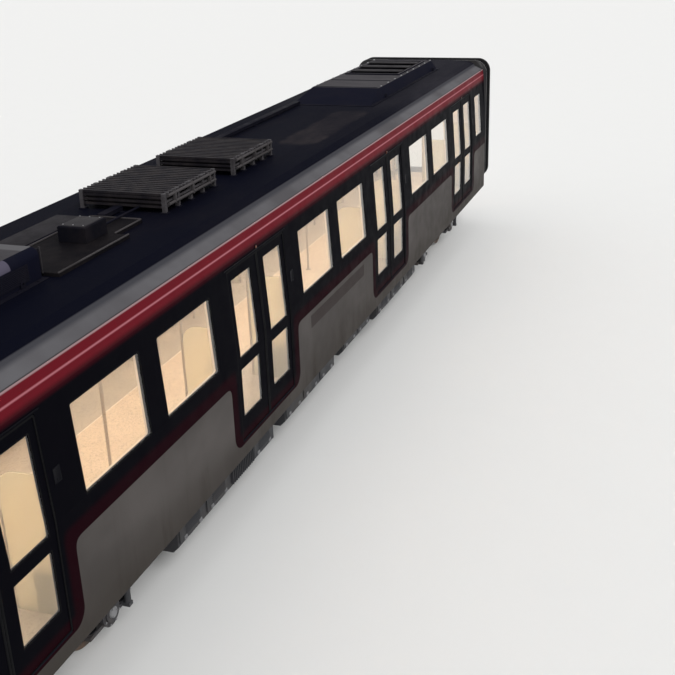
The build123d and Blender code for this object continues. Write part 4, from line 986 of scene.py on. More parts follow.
def side_grilles():
    """Louvred grilles on both long sides of the rear unit."""
    y = -REAR_UNIT_HALF_W
    pieces = []
    for n in range(4):
        x = REAR_UNIT[0] + 0.18 + n * 0.82
        surround = slab((x, y - 0.010, ROOF_Z + 0.045), (x + 0.72, y + 0.002, ROOF_Z + 0.200), 0.003)
        slat = cube((x + 0.018, y - 0.009, ROOF_Z + 0.064), (x + 0.702, y - 0.002, ROOF_Z + 0.070))
        pieces += [inset(surround, OUT, 0.016, -0.007),
                   row(shifted(slat, OUT, (0, 0, -0.006)), 8, (0, 0, 0.0155))]
    return mirrored(joined(pieces))


def fan_guards():
    """Round wire guards and blades in the two fan wells of the rear unit."""
    guards = joined([ring((0, 0, REAR_UNIT_Z1 - 0.026), UP, radius, 0.0035)
                     for radius in (0.10, 0.15, 0.20, 0.25, 0.284)])
    blade = cube((0.06, -0.055, REAR_UNIT_Z1 - 0.062), (0.272, 0.055, REAR_UNIT_Z1 - 0.056))
    for vertex in blade.data.vertices:
        vertex.co.z += vertex.co.y * 0.22
        vertex.co.y *= 0.55 + vertex.co.x * 2.2
    bevelled(blade, 0.002, 1)
    blades = joined([blade] + [copy(blade, Matrix.Rotation(2 * pi * n / 6, 4, "Z")) for n in range(1, 6)])
    xs = [(REAR_UNIT[0] + REAR_UNIT[1]) / 2 + s * 0.425 for s in (-1, 1)]
    return at_xs(guards, xs), at_xs(blades, xs)


def rear_unit_fittings():
    """Connector case, its pale cover strips and the pipes between the rear unit and the tray."""
    x = REAR_UNIT[1]
    case = slab((x - 0.002, -0.44, ROOF_Z + 0.06), (x + 0.055, -0.20, ROOF_Z + 0.27), 0.006)
    strips = [slab((x + 0.050, y, ROOF_Z + 0.03), (x + 0.062, y + 0.016, ROOF_Z + 0.285), 0.002)
              for y in (-0.452, -0.205)]
    pipes = [pipe([(x + ahead, y, ROOF_Z + rise) for ahead, rise in ((-0.01, up), (0.13, up), (0.13, 0.045),
                                                                     (0.55, 0.045))], radius, 0.035)
             for y, up, radius in ((0.02, 0.17, 0.019), (0.10, 0.14, 0.013), (-0.08, 0.20, 0.015))]
    return inset(case, AHEAD, 0.012, -0.004), joined(strips), joined(pipes)


def tray_edges():
    """Folded angles round the tray, which is narrower in front of the junction box. Their pale finish is a
    painted highlight along the rim.
    """
    (x0, y0, _), (x1, y1, _) = JUNCTION_BOX
    z, step_x, step_y, wide = ROOF_Z + 0.036, -3.9, -0.45, 0.016
    return joined([slab((*lo, z - 0.004), (*hi, z + 0.012), 0.002)
                   for lo, hi in (((x0, y0), (step_x, y0 + wide)), ((step_x, step_y), (x1, step_y + wide)),
                                  ((x1 - wide, step_y), (x1, y1)), ((x0, y1 - wide), (x1, y1)))])


def junction_fittings():
    """Lid, lid screws and cable glands of the junction box."""
    x, y, z, top = -4.105, -0.20, ROOF_Z + 0.10, JUNCTION_BOX[1].z
    lid = slab((x - 0.175, y - 0.135, top - 0.004), (x + 0.175, y + 0.135, top + 0.006), 0.003)
    screws = bolts(UP, 0.008, 0.006, [(x + i * 0.155, y + j * 0.115, top + 0.005)
                                      for i in (-1, 1) for j in (-1, 0, 1)])
    gland = rod((x + 0.195, y - 0.09, z), (x + 0.235, y - 0.09, z), 0.022, 6, edge=0.003)
    nose = rod((x + 0.233, y - 0.09, z), (x + 0.255, y - 0.09, z), 0.017, 16, 0.011)
    glands = at_places(joined([gland, bevelled(nose, 0.002, 1)]), [(0, n * 0.09, 0) for n in range(3)])
    lead = pipe(((x + 0.24, y, z), (x + 0.36, y, z), (x + 0.36, y, z - 0.04), (-2.96, y, z - 0.04)),
                0.013, 0.03)
    return lid, joined([screws, glands]), lead


def rack_covers():
    """Thin sheets between the blades of the racks, a little below their tops."""
    y, z = RACK_HALF_W - 0.03, RACK_Z1 - 0.013
    return joined([inset(slab((x0 + 0.03, -y, z), (x1 - 0.03, y, z + 0.005), 0.0015, 1), UP, 0.04, 0.002)
                   for x0, x1 in RACKS])


def rack_fittings():
    """Feet under the rack posts, tubes along their near sides, and insulated terminals at their ends."""
    foot = joined([slab((-0.04, -0.04, -0.001), (0.04, 0.04, 0.014), 0.003),
                   bolts(UP, 0.009, 0.008, [(0.028, 0.0, 0.013)])])
    post = 0.0225
    feet = at_places(foot, [(x, s * (RACK_HALF_W - post), ROOF_Z) for x0, x1 in RACKS
                            for x in evenly(x0 + post, x1 - post,
                                            max(1, round((x1 - x0 - 2 * post) / 0.32)) + 1)
                            for s in (-1, 1)])
    y = -RACK_HALF_W - 0.020
    tubes = [pipe(((x0 + 0.05, y, ROOF_Z + rise), (x1 - 0.05, y, ROOF_Z + rise)), 0.016, 0.01)
             for x0, x1 in RACKS for rise in (0.195, 0.100)]
    tubes += [slab((x - 0.012, y - 0.018, ROOF_Z + 0.08), (x + 0.012, y + 0.022, ROOF_Z + 0.214), 0.003)
              for x0, x1 in RACKS for x in evenly(x0 + 0.20, x1 - 0.20, 3)]
    terminal = [rod((0, 0, 0), (0.045, 0, 0), 0.020, 16, 0.014)]
    terminal += [ring((0.010 + 0.012 * n, 0, 0), AHEAD, 0.020, 0.005, 16) for n in range(3)]
    terminal.append(bolts(AHEAD, 0.010, 0.014, [(0.045, 0, 0)]))
    terminals = at_places(joined(terminal), [(x1 - 0.028, y, ROOF_Z + 0.13)
                                             for x0, x1 in RACKS for y in (-0.3, 0.0, 0.3)])
    return feet, joined(tubes), terminals


def ac_fittings():
    """Lid latches of the front unit, and the wide cover plates across its well."""
    latch = joined([slab((-0.03, -0.012, -0.002), (0.03, 0.012, 0.012), 0.004),
                    rod((-0.022, 0, 0.010), (0.022, 0, 0.010), 0.006, 12, edge=0.001)])
    latches = at_places(latch, [(AC_TOP_X0 + 0.20 + n * 0.42, s * 0.590, AC_Z1)
                                for n in range(9) for s in (-1, 1)])
    cover = slab((-0.11, -0.495, AC_Z1 + 0.022), (0.11, 0.495, AC_Z1 + 0.034), 0.004)
    well_middle = HALF_L - 2.625
    return latches, at_xs(inset(cover, UP, 0.016, 0.004), [well_middle + step for step in (-0.56, 0.0, 0.56)])


class METRO_OT_roof_fittings(Fittings, bpy.types.Operator):
    """Adds the mats, ducts, guards, pipes and fastenings of the roof"""
    bl_idname = "metro.roof_fittings"
    bl_label = "Roof fittings"
    rows = ((roof_mats, "roof_mats roof_paint mat"),
            (roof_ducts, "roof_ducts roof_equipment duct"),
            (unit_flanges, "unit_flanges roof_equipment duct"),
            (unit_bolts, "unit_bolts roof_equipment duct"),
            (lifting_lugs, "lifting_lugs roof_equipment duct"),
            (side_grilles, "side_grilles roof_equipment duct"),
            (fan_guards, "fan_guards polished_steel zinc", "fan_blades rubber rubber"),
            (rear_unit_fittings, "rear_unit_case roof_equipment duct",
             "rear_unit_strips polished_steel pale_casing", "rear_unit_pipes roof_equipment duct"),
            # The pale finish of the tray edges is a painted highlight along the rim.
            (tray_edges, "tray_edges roof_equipment pale_edge"),
            (junction_fittings, "junction_lid roof_equipment pale_casing",
             "junction_screws polished_steel zinc", "junction_conduits roof_equipment duct"),
            (rack_covers, "rack_covers roof_equipment rack"),
            (rack_fittings, "rack_feet roof_equipment duct", "rack_tubes polished_steel pale_edge",
             "rack_terminals rubber insulator"),
            (ac_fittings, "ac_latches polished_steel zinc", "well_covers roof_equipment pale_casing"))


# Fittings under the floor

MACHINE_Y1 = 1.24
BOX_DOOR_W, BOX_DOOR_T = 0.68, 0.014
# Name, sides with doors, whether the middle panel has fins
BOXES = (("traction_inverter", (-1, 1), True), ("auxiliary_converter", (-1, 1), False),
         ("battery_box", (-1,), False), ("brake_control_box", (-1,), False), ("compressor_box", (1,), True))


def box_doors():
    """Side, first x, last x and foot of every door of the boxes below the floor."""
    doors = []
    for name, sides, finned in BOXES:
        lo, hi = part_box(name)
        count = max(1, round((hi.x - lo.x) / BOX_DOOR_W))
        pitch = (hi.x - lo.x) / count
        doors += [(side, lo.x + n * pitch + 0.03, lo.x + (n + 1) * pitch - 0.03, lo.z + 0.10)
                  for n in range(count) if not (finned and n == count // 2) for side in sides]
    return doors


def on_boxes(piece, places):
    """A piece drawn on the near side, set at its places, and turned half round for those of the far side."""
    other = copy(piece, Matrix.Rotation(pi, 4, "Z"))
    y = MACHINE_Y1 + BOX_DOOR_T
    return joined([at_places(piece, [(x, -y, z) for side, x, z in places if side < 0]),
                   at_places(other, [(x, y, z) for side, x, z in places if side > 0])])


def box_latches():
    """Two turn latches at the top of each box door, and two hinges along its foot."""
    latch = joined([inset(rod((0, 0.002, 0), (0, -0.006, 0), 0.030, 20), OUT, 0.006, -0.003),
                    slab((-0.008, -0.018, -0.026), (0.008, -0.003, 0.026), 0.003)])
    hinge = joined([rod((-0.035, -0.006, 0), (0.035, -0.006, 0), 0.009, 12, edge=0.002),
                    slab((-0.032, -0.004, 0.0), (0.032, 0.002, 0.036), 0.002)])
    doors = box_doors()
    return joined([
        on_boxes(latch, [(side, x, UNDERFRAME_Z0 - 0.105) for side, x0, x1, _ in doors
                         for x in (x0 + 0.10, x1 - 0.10)]),
        on_boxes(hinge, [(side, x, z0 + 0.006) for side, x0, x1, z0 in doors
                         for x in (x0 + 0.12, x1 - 0.12)])])


def box_louvres():
    """Pressed louvres in the doors of the inverter and the converter."""
    blade = cube((-0.17, -0.012, 0), (0.17, 0.001, 0.012))
    work(blade, "FACE", OUT, lambda: bpy.ops.transform.resize(value=(0.92, 1, 0.3)))
    row(shifted(blade, OUT, (0, 0, -0.006)), 7, (0, 0, 0.026))
    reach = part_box("brake_control_box")[1].x
    return on_boxes(blade, [(side, (x0 + x1) / 2, z0 + 0.05) for side, x0, x1, z0 in box_doors()
                            if x0 > reach or x1 < -reach])


def box_covers():
    """Bolted service covers in the bottoms of the boxes."""
    covers, heads = [], []
    for name, _, _ in BOXES:
        lo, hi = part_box(name)
        y0, y1 = lo.y + 0.13, hi.y - 0.13
        count, across = max(1, round((hi.x - lo.x) / 0.95)), 2 if y1 - y0 > 1.2 else 1
        long, wide = Vector(((hi.x - lo.x) / count, (y1 - y0) / across))
        for x, y in ((lo.x + n * long, y0 + m * wide) for n in range(count) for m in range(across)):
            cover = slab((x + 0.05, y + 0.02, lo.z - 0.008),
                         (x + long - 0.05, y + wide - 0.02, lo.z + 0.001), 0.003)
            covers.append(inset(cover, DOWN, 0.045, -0.003))
            heads += [(x + i, y + j, lo.z - 0.007) for i in (0.075, long / 2, long - 0.075)
                      for j in (0.045, wide - 0.045)]
    return joined(covers), bolts(DOWN, 0.011, 0.009, heads)


def brake_pipes():
    """Main and brake pipes inside the foot of both sides, with clips on the side sills."""
    x, z = HALF_L - 0.35, UNDERFRAME_Z0 - 0.030
    runs = [pipe(((-x, inside - HALF_W, z), (x, inside - HALF_W, z)), radius)
            for inside, radius in ((0.105, 0.016), (0.150, 0.013))]
    clip = slab((-0.015, -HALF_W + 0.082, z - 0.020), (0.015, -HALF_W + 0.170, UNDERFRAME_Z0 + 0.001), 0.003)
    return mirrored(joined(runs + [at_xs(clip, [0.59 + 1.18 * n for n in range(-8, 8)])]))


def cable_troughs():
    """Lidded troughs under the underframe, in the gaps between the boxes."""
    z1 = UNDERFRAME_Z0 + 0.001
    return joined([inset(slab((x0, y0, z1 - 0.090), (x1, y0 + 0.22, z1), 0.006), DOWN, 0.015, -0.006)
                   for x0, x1, y0 in ((-2.02, -1.68, -0.62), (0.30, 0.62, -0.62), (1.98, 2.32, -0.62),
                                      (-2.02, -1.68, 0.40), (1.98, 2.32, 0.40))])


def tank_fittings():
    """Straps round the reservoirs, their drain cocks and the pipe that joins them."""
    lo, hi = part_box("air_reservoirs")
    tank_r = 0.187
    z, near, far = lo.z + tank_r, lo.y + tank_r, hi.y - tank_r
    straps = [ring((x, y, z), AHEAD, 0.176, 0.006) for y in (near, far) for x in (0.30, 0.88)]
    cocks = []
    for y in (near, far):
        cocks += [rod((0.59, y, z - 0.172), (0.59, y, z - 0.205), 0.014, 6, edge=0.002),
                  slab((0.575, y - 0.006, z - 0.212), (0.655, y + 0.006, z - 0.203), 0.002)]
    link = pipe([(hi.x + ahead, y, z)
                 for ahead, y in ((-0.01, near), (0.10, near), (0.10, far), (-0.01, far))], 0.014)
    return joined(straps), joined(cocks + [link])


class METRO_OT_underfloor_fittings(Fittings, bpy.types.Operator):
    """Adds latches, louvres, pipes, troughs and tank fittings below the floor"""
    bl_idname = "metro.underfloor_fittings"
    bl_label = "Underfloor fittings"
    rows = ((box_latches, "box_latches polished_steel zinc"),
            (box_louvres, "box_louvres equipment_paint equipment"),
            (box_covers, "box_covers equipment_paint equipment", "cover_bolts polished_steel zinc"),
            (brake_pipes, "brake_pipes chassis pipework"),
            (cable_troughs, "cable_troughs chassis chassis"),
            (tank_fittings, "tank_straps tank_paint pipework", "drain_cocks polished_steel zinc"))


# Fittings of the bogies

ENDS = (("front", 1), ("rear", -1))
BEAM_FACE_Y = -1.090
BEAM_TOP_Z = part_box("bogie_frame_front")[1].z
COVER_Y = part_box("axle_boxes_front")[0].y
SPRING_X = 0.26


def axle_xs(s):
    """The bogie's two axles, the rear one first."""
    return [s * BOGIE_X + k * HALF_WHEELBASE for k in (-1, 1)]


def axle_box_bolts(s):
    """Bolts round the covers of the four axle boxes, and the cap in the middle of each."""
    heads = bolts(OUT, 0.013, 0.014, [(x, COVER_Y + 0.018, z) for x, z in circle(8, 0.128, pi / 8)])
    cap = inset(rod((0, COVER_Y + 0.001, 0), (0, COVER_Y - 0.016, 0), 0.062, 28, 0.056), OUT, 0.018, -0.005)
    small = bolts(OUT, 0.007, 0.006, [(x, COVER_Y - 0.015, z) for x, z in circle(3, 0.047)])
    return at_places(mirrored(joined([heads, cap, small])), [(x, 0, AXLE_Z) for x in axle_xs(s)])


def sensor_conduits(s):
    """Armoured conduit from each axle box to the side beam, with its gland."""
    y, face_y, z = COVER_Y + 0.030, BEAM_FACE_Y - 0.012, AXLE_Z
    leads = []
    for k, x in zip((-1, 1), axle_xs(s)):
        leads += [pipe(((x, y, z + 0.140), (x, y, z + 0.215), (x - k * 0.20, face_y, z + 0.235),
                        (x - k * 0.30, face_y, z + 0.225)), 0.011, 0.04),
                  rod((x, y, z + 0.135), (x, y, z + 0.165), 0.018, 6, edge=0.002)]
    return mirrored(joined(leads))


def beam_bolts(s):
    """Bolts on the side beams over the springs and along the webs."""
    top = bolts(UP, 0.013, 0.013, [(s * BOGIE_X + k * (HALF_WHEELBASE + d), y, BEAM_TOP_Z) for k in (-1, 1)
                                   for d in (-SPRING_X, SPRING_X) for y in (-1.055, -0.945)])
    web = bolts(OUT, 0.011, 0.010, [(s * BOGIE_X + x, BEAM_FACE_Y + 0.022, AXLE_Z + rise)
                                    for x in (-0.22, -0.08, 0.08, 0.22) for rise in (0.085, 0.180)])
    return mirrored(joined([top, web]))


def brake_lines(s):
    """Brake pipe from the transom to each brake unit, along the inside of the beams."""
    y, z = -0.890, AXLE_Z + 0.190
    lines = []
    for k in (-1, 1):
        foot, clip, end = (s * BOGIE_X + k * reach for reach in (0.52, 0.42, 0.29))
        lines += [pipe(((foot, y, z - 0.075), (foot, y, z), (end, y, z)), 0.010, 0.04),
                  slab((clip - 0.012, y - 0.022, z - 0.016), (clip + 0.012, y + 0.014, z + 0.016), 0.003)]
    return mirrored(joined(lines))


def motor_terminals(s):
    """Terminal case on top of each motor, and the bolts round the gear case."""
    pieces = []
    for k in (-1, 1):
        x, y, z = s * BOGIE_X + k * 0.545, -k * 0.27, AXLE_Z + 0.225
        case = slab((x - 0.09, y - 0.08, z), (x + 0.09, y + 0.08, z + 0.075), 0.008)
        heads = [(s * BOGIE_X + k * HALF_WHEELBASE + ahead, k * 0.400, AXLE_Z + up)
                 for ahead, up in circle(10, 0.185)]
        pieces += [inset(case, UP, 0.012, -0.003), bolts((0, k, 0), 0.011, 0.010, heads)]
    return joined(pieces)


def spring_caps(s):
    """Clamping rings round the tops and feet of the air springs, and discs over the rubber springs."""
    air = [ring((s * BOGIE_X, -0.950, z), UP, 0.215, 0.010, minor=8) for z in (0.714, 0.921)]
    discs = [rod((x + d, -1.0, AXLE_Z - 0.060), (x + d, -1.0, AXLE_Z - 0.050), 0.088, 28, edge=0.002)
             for x in axle_xs(s) for d in (-SPRING_X, SPRING_X)]
    return mirrored(joined(air + discs))


def hub_rings(x):
    """Raised ring and oil plug at the hubs of one wheelset."""
    hub = ring((x, -0.835, AXLE_Z), (0, 1, 0), 0.112, 0.004)
    return mirrored(joined([hub, bolts(OUT, 0.007, 0.006, [(x + 0.104, -0.834, AXLE_Z)])]))


class METRO_OT_bogie_fittings(bpy.types.Operator):
    """Adds bolts, caps, pipes and conduits to the bogies and wheels"""
    bl_idname = "metro.bogie_fittings"
    bl_label = "Bogie fittings"
    rows = ((axle_box_bolts, "polished_steel", "zinc"), (sensor_conduits, "rubber", "rubber"),
            (beam_bolts, "polished_steel", "zinc"), (brake_lines, "chassis", "pipework"),
            (motor_terminals, "cast_housing", "casting"), (spring_caps, "chassis", "chassis"))

    def execute(self, context):
        for name, s in ENDS:
            for make, slot, finish in self.rows:
                fixed(make(s), f"{make.__name__}_{name}", slot, finish, "bogie_" + name)
        for number, x in enumerate([x for _, s in ENDS for x in reversed(axle_xs(s))], 1):
            fixed(hub_rings(x), f"hub_rings_{number}", "wheel_steel", "axle", f"wheelset_{number}")
        return {"FINISHED"}


# Fittings of the ends

BELLOWS_LO, BELLOWS_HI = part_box("gangway_bellows_front")
FOLDS = 7
PANEL_RIM, PANEL_SINK = 0.030, 0.008


def bellows_beads():
    """Piping along the crest of every fold of both bellows."""
    pitch = (BELLOWS_HI.x - BELLOWS_LO.x) / FOLDS
    bead = end_ring(BELLOWS_LO.x + pitch, BELLOWS_HI.y - 0.001, BELLOWS_LO.z + 0.001, BELLOWS_HI.z - 0.001,
                    0.259, 0.012, 0.012)
    return mirrored(row(bead, FOLDS - 1, (pitch, 0, 0)), "x")


def coupling_frame(name, s):
    """The gangway's own solid, with a shallow panel sunk in the face that meets the next car."""
    piece = bpy.data.objects.new("coupling_frame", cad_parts["gangway_tunnel_" + name].data.copy())
    bpy.context.scene.collection.objects.link(piece)
    return inset(outward(piece), lambda face: (face.normal.x * s > 0.99
                                               and abs(face.calc_center_median().x) > FACE_X - 0.001),
                 PANEL_RIM, -PANEL_SINK)


def coupling_seals():
    """Rubber lip round the passage that presses on the next car, and a second one near the rim."""
    x, z1 = FACE_X - PANEL_SINK / 2 - 0.001, FLOOR_Z + PASSAGE_H
    return mirrored(joined([
        end_ring(x, PASSAGE_HALF_W + 0.135, FLOOR_Z - 0.095, z1 + 0.135, 0.09, 0.035, 0.008),
        end_ring(x, BELLOWS_HI.y - 0.115, FLOOR_Z - 0.100, BELLOWS_HI.z - 0.115, 0.18, 0.020, 0.007)]), "x")


def coupling_bolts():
    """Bolts along the rim of each coupling frame, and the collars that the next car's pins enter."""
    x, y, z = FACE_X - PANEL_SINK, BELLOWS_HI.y - 0.075, BELLOWS_HI.z - 0.075
    heads = bolts(AHEAD, 0.013, 0.005, [(x, s * y, 1.36 + 0.305 * n) for n in range(7) for s in (-1, 1)]
                  + [(x, 0.36 * n, z) for n in range(-3, 4)])
    collar = inset(rod((x - 0.001, 0, 0), (x + 0.005, 0, 0), 0.048, 32), AHEAD, 0.014, -0.004)
    collars = at_places(collar, [(0, s * 1.06, h) for s in (-1, 1) for h in (1.55, 2.95)])
    return mirrored(joined([heads, collars]), "x")


def passage_rails():
    """Handrail on both walls of each gangway."""
    x0, x1, y, z = INNER_L + 0.06, FACE_X - 0.06, -PASSAGE_HALF_W + 0.055, FLOOR_Z + 1.0
    rail = pipe(((x0, y - 0.06, z), (x0, y, z), (x1, y, z), (x1, y - 0.06, z)), 0.015, 0.04)
    roses = [rod((x, y - 0.056, z), (x, y - 0.048, z), 0.030, 20, edge=0.002) for x in (x0, x1)]
    return mirrored(joined([rail] + roses), "xy")


def passage_plates():
    """Ribbed sliding plate on the floor of each gangway."""
    y = PASSAGE_HALF_W - 0.03
    plate = slab((INNER_L - 0.04, -y, FLOOR_Z - 0.001), (FACE_X - 0.004, y, FLOOR_Z + 0.005), 0.002)
    rib = slab((INNER_L + 0.02, -y + 0.04, FLOOR_Z + 0.004), (INNER_L + 0.032, y - 0.04, FLOOR_Z + 0.009),
               0.002)
    return mirrored(joined([plate, row(rib, 11, (0.038, 0, 0))]), "x")


def drawbar_bolts(s):
    """Bolt heads behind the flange of a drawbar, and the collar at its root."""
    lo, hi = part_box("drawbar_front")
    x, z = s * (FACE_X - 0.040), (lo.z + hi.z) / 2
    heads = bolts((-s, 0, 0), 0.020, 0.016, [(x, y, z + up) for y, up in circle(8, 0.11)])
    return joined([heads, rod((x, 0, z), (x - s * 0.035, 0, z), 0.084, 32, 0.066, 0.003)])


class METRO_OT_end_fittings(Fittings, bpy.types.Operator):
    """Adds the coupling frames, seals, piping, rails, plates and bolts of both ends"""
    bl_idname = "metro.end_fittings"
    bl_label = "End fittings"
    rows = ((coupling_seals, "coupling_seals bellows_rubber rubber"),
            (coupling_bolts, "coupling_bolts polished_steel axle"),
            (bellows_beads, "bellows_beads bellows_rubber rubber"),
            (passage_rails, "passage_rails polished_steel steel"),
            (passage_plates, "passage_plates polished_steel zinc"))

    def execute(self, context):
        for name, s in ENDS:
            shown = fixed(coupling_frame(name, s), "coupling_frame_" + name, "lining", "gangway")
            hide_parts("gangway_tunnel_" + name)
        super().execute(context)
        for name, s in ENDS:
            fixed(drawbar_bolts(s), "drawbar_bolts_" + name, "chassis", "zinc", "drawbar_" + name)
        return {"FINISHED"}


# Fittings of the saloon

BENCH_END = DOOR_HALF_W + 0.106
POLE_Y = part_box("grab_rails")[1].y - 0.017
HAND_RAIL_Z = FLOOR_Z + 1.85


def bench_spans():
    """First and last x of each bench."""
    half = DOOR_PITCH / 2 - BENCH_END
    spans = [(bay - half, bay + half) for bay in BAY_XS]
    return spans + [(DOOR_XS[-1] + BENCH_END, INNER_L), (-INNER_L, DOOR_XS[0] - BENCH_END)]


def hand_straps():
    """Webbing straps and their grips, along the overhead rails."""
    y, top = -POLE_Y, HAND_RAIL_Z + 0.022
    strap = joined([slab((-0.014, y - 0.021, top - 0.052), (0.014, y + 0.021, top), 0.004),
                    slab((-0.013, y - 0.003, top - 0.235), (0.013, y + 0.003, top - 0.045), 0.002)])
    grip = ring((0, y, top - 0.285), (0, 1, 0), 0.050, 0.008, 20, 8)
    xs = []
    for x0, x1 in bench_spans():
        half_step = (x1 - x0) / round((x1 - x0) / 0.45) / 2
        xs += evenly(x0 + half_step, x1 - half_step, round((x1 - x0) / 0.45))
    return mirrored(at_xs(strap, xs)), mirrored(at_xs(grip, xs))


def door_headers():
    """Covers over the door gear inside, with a bare strip for a display."""
    y, z0, z1 = -HALF_W + 0.134, DOOR_Z1 + 0.004, CANTRAIL_Z + 0.050
    cover = bevelled(cube((-0.88, y, z0), (0.88, y + 0.20, z1)), 0.06, 3,
                     lambda edge: all(v.co.y > y + 0.19 and v.co.z < z0 + 0.01 for v in edge.verts))
    strip = slab((-0.60, y + 0.196, z0 + 0.074), (0.60, y + 0.206, z1 - 0.008), 0.003)
    return mirrored(at_doors(joined([cover, strip])))


def window_linings():
    """Moulded surrounds of the windows, inside."""
    grown = 0.035
    return mirrored(leaned(at_windows(gasket(WINDOW_NEAR - grown, WINDOW_FAR + grown, SILL_Z - grown,
                                             WINDOW_TOP_Z + grown, 0.06, 0.034, 0.069, 0.014))))


def ceiling_vents():
    """Air outlets along the ceiling, and the cover strip between them."""
    x, z = INNER_L - 0.30, CEILING_Z + 0.002
    slots = [slab((-x, y, z - 0.014), (x, y + 0.016, z), 0.003, 1)
             for y in (-0.405, -0.373, -0.341, 0.325, 0.357, 0.389)]
    return joined(slots + [slab((-x, -0.20, z - 0.012), (x, 0.20, z), 0.005)])


def seat_pads():
    """Shallow moulded pad on every seat."""
    y, z = -INNER_W, FLOOR_Z + 0.424
    pads = []
    for x0, x1 in bench_spans():
        count = int((x1 - x0) / 0.535)
        pitch = (x1 - x0) / count
        pads += [slab((x0 + n * pitch + 0.05, y + 0.150, z),
                      (x0 + (n + 1) * pitch - 0.05, y + 0.440, z + 0.022), 0.010) for n in range(count)]
    return mirrored(joined(pads))


def middle_poles():
    """Pole in the middle of each door lobby, with a rose at both ends."""
    foot, head = FLOOR_Z - 0.001, CEILING_Z + 0.001
    roses = [bevelled(rod((0, 0, z0), (0, 0, z1), 0.046, 28), 0.004)
             for z0, z1 in ((foot, FLOOR_Z + 0.014), (CEILING_Z - 0.024, head))]
    return at_doors(joined([rod((0, 0, foot), (0, 0, head), 0.017, 20)] + roses))


class METRO_OT_saloon_fittings(Fittings, bpy.types.Operator):
    """Adds straps, door covers, window surrounds, vents, seat pads and poles"""
    bl_idname = "metro.saloon_fittings"
    bl_label = "Saloon fittings"
    rows = ((hand_straps, "hand_straps rubber strap", "strap_grips seat_plastic seat"),
            (door_headers, "door_headers lining lining"),
            (window_linings, "window_linings lining lining"),
            (ceiling_vents, "ceiling_vents lining lining"),
            (seat_pads, "seat_pads seat_plastic seat"),
            (middle_poles, "middle_poles polished_steel steel"))


# Stage

# Where the camera stands, in metres, and how it is turned
CAMERA_PLACE = (-12.932, -HALF_W - 4.649, SILL_Z + 4.436)
CAMERA_HEADING, CAMERA_DIP, CAMERA_ROLL = radians(19.96), radians(21.86), radians(-2.06)


def camera_turn():
    """Rotation of a camera that looks along its heading, dips and rolls a little."""
    ahead = Vector((cos(CAMERA_DIP) * cos(CAMERA_HEADING), cos(CAMERA_DIP) * sin(CAMERA_HEADING),
                    -sin(CAMERA_DIP)))
    level = ahead.cross(Vector(UP)).normalized()
    up = level.cross(ahead)
    right = level * cos(CAMERA_ROLL) + up * sin(CAMERA_ROLL)
    top = up * cos(CAMERA_ROLL) - level * sin(CAMERA_ROLL)
    return Matrix((right, top, -ahead)).transposed().to_euler()


def pale_world(sky):
    """Even fill light. What the camera, glass and gloss see of it is white."""
    world = bpy.data.worlds.new("studio")
    bpy.context.scene.world = world
    world.use_nodes = True
    nodes, links = world.node_tree.nodes, world.node_tree.links
    seen = nodes.new("ShaderNodeLightPath")
    most = seen.outputs["Is Camera Ray"]
    for name in ("Is Glossy Ray", "Is Transmission Ray"):
        larger = nodes.new("ShaderNodeMath")
        larger.operation = "MAXIMUM"
        links.new(most, larger.inputs[0])
        links.new(seen.outputs[name], larger.inputs[1])
        most = larger.outputs[0]
    strength = nodes.new("ShaderNodeMapRange")
    strength.inputs["To Min"].default_value = sky
    strength.inputs["To Max"].default_value = 1.0
    links.new(most, strength.inputs["Value"])
    nodes["Background"].inputs["Color"].default_value = (1, 1, 1, 1)
    links.new(strength.outputs[0], nodes["Background"].inputs["Strength"])


def stage_floor(colour):
    floor = primitive(bpy.ops.mesh.primitive_plane_add, size=240)
    floor.name = "stage_floor"
    graph = Graph("stage_floor")
    tone = graph.mix(graph.noise(1.5, 3.0), shade(colour, 0.985), colour)
    floor.data.materials.append(graph.finish(tone, 0.85, grain=None))


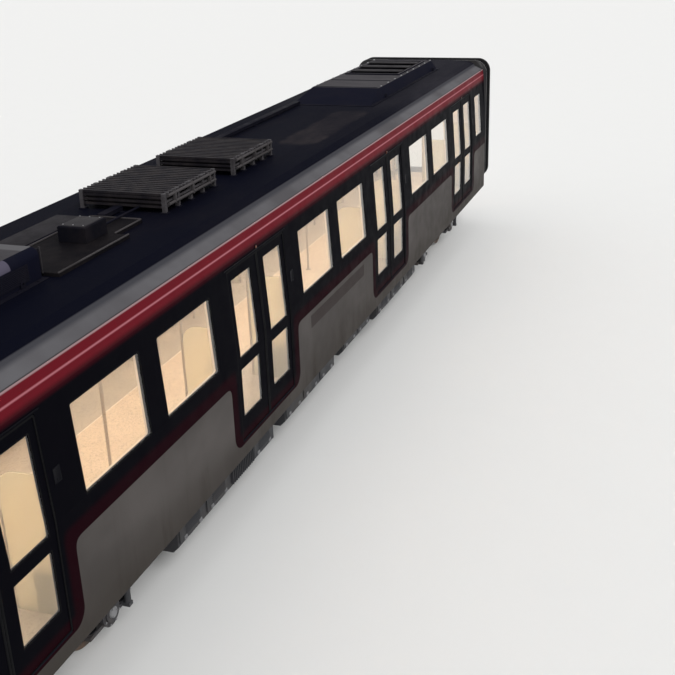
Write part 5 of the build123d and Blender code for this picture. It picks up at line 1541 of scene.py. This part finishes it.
class METRO_OT_stage(bpy.types.Operator):
    """Adds the floor, the soft light and the camera"""
    bl_idname = "metro.stage"
    bl_label = "Stage"

    def execute(self, context):
        scene = context.scene
        settings = scene.metro_stage
        stage_floor(settings.floor)
        pale_world(settings.sky)
        sun = bpy.data.lights.new("key_light", "SUN")
        sun.energy = settings.sun
        sun.angle = radians(25)
        lamp = bpy.data.objects.new("key_light", sun)
        lamp.rotation_euler = (radians(48), 0, radians(-38))
        scene.collection.objects.link(lamp)
        lens = bpy.data.cameras.new("camera")
        lens.sensor_width = 36
        lens.lens = settings.lens
        lens.clip_end = 400
        camera = bpy.data.objects.new("camera", lens)
        camera.location = CAMERA_PLACE
        camera.rotation_euler = camera_turn()
        scene.collection.objects.link(camera)
        scene.camera = camera
        scene.view_settings.view_transform = "Standard"
        return {"FINISHED"}


STEPS = (METRO_OT_finishes, METRO_OT_side_fittings, METRO_OT_roof_fittings, METRO_OT_underfloor_fittings,
         METRO_OT_bogie_fittings, METRO_OT_end_fittings, METRO_OT_saloon_fittings, METRO_OT_stage)


class METRO_PT_panel(bpy.types.Panel):
    """Lists the settings and the steps"""
    bl_label = "Metro car"
    bl_idname = "METRO_PT_panel"
    bl_space_type = "VIEW_3D"
    bl_region_type = "UI"
    bl_category = "Metro car"

    def draw(self, context):
        for settings in (context.scene.metro_livery, context.scene.metro_cabin, context.scene.metro_stage):
            for key in settings.__annotations__:
                self.layout.prop(settings, key)
        for step in STEPS:
            self.layout.operator(step.bl_idname)


SETTINGS = {"metro_livery": LiverySettings, "metro_cabin": CabinSettings, "metro_stage": StageSettings}


def register():
    for kind in (*SETTINGS.values(), *STEPS, METRO_PT_panel):
        bpy.utils.register_class(kind)
    for name, kind in SETTINGS.items():
        setattr(bpy.types.Scene, name, PointerProperty(type=kind))


def unregister():
    for name in SETTINGS:
        delattr(bpy.types.Scene, name)
    for kind in (METRO_PT_panel, *STEPS, *SETTINGS.values()):
        bpy.utils.unregister_class(kind)


def main():
    register()
    for step in STEPS:
        family, action = step.bl_idname.split(".")
        getattr(getattr(bpy.ops, family), action)()


if __name__ == "__main__":
    main()
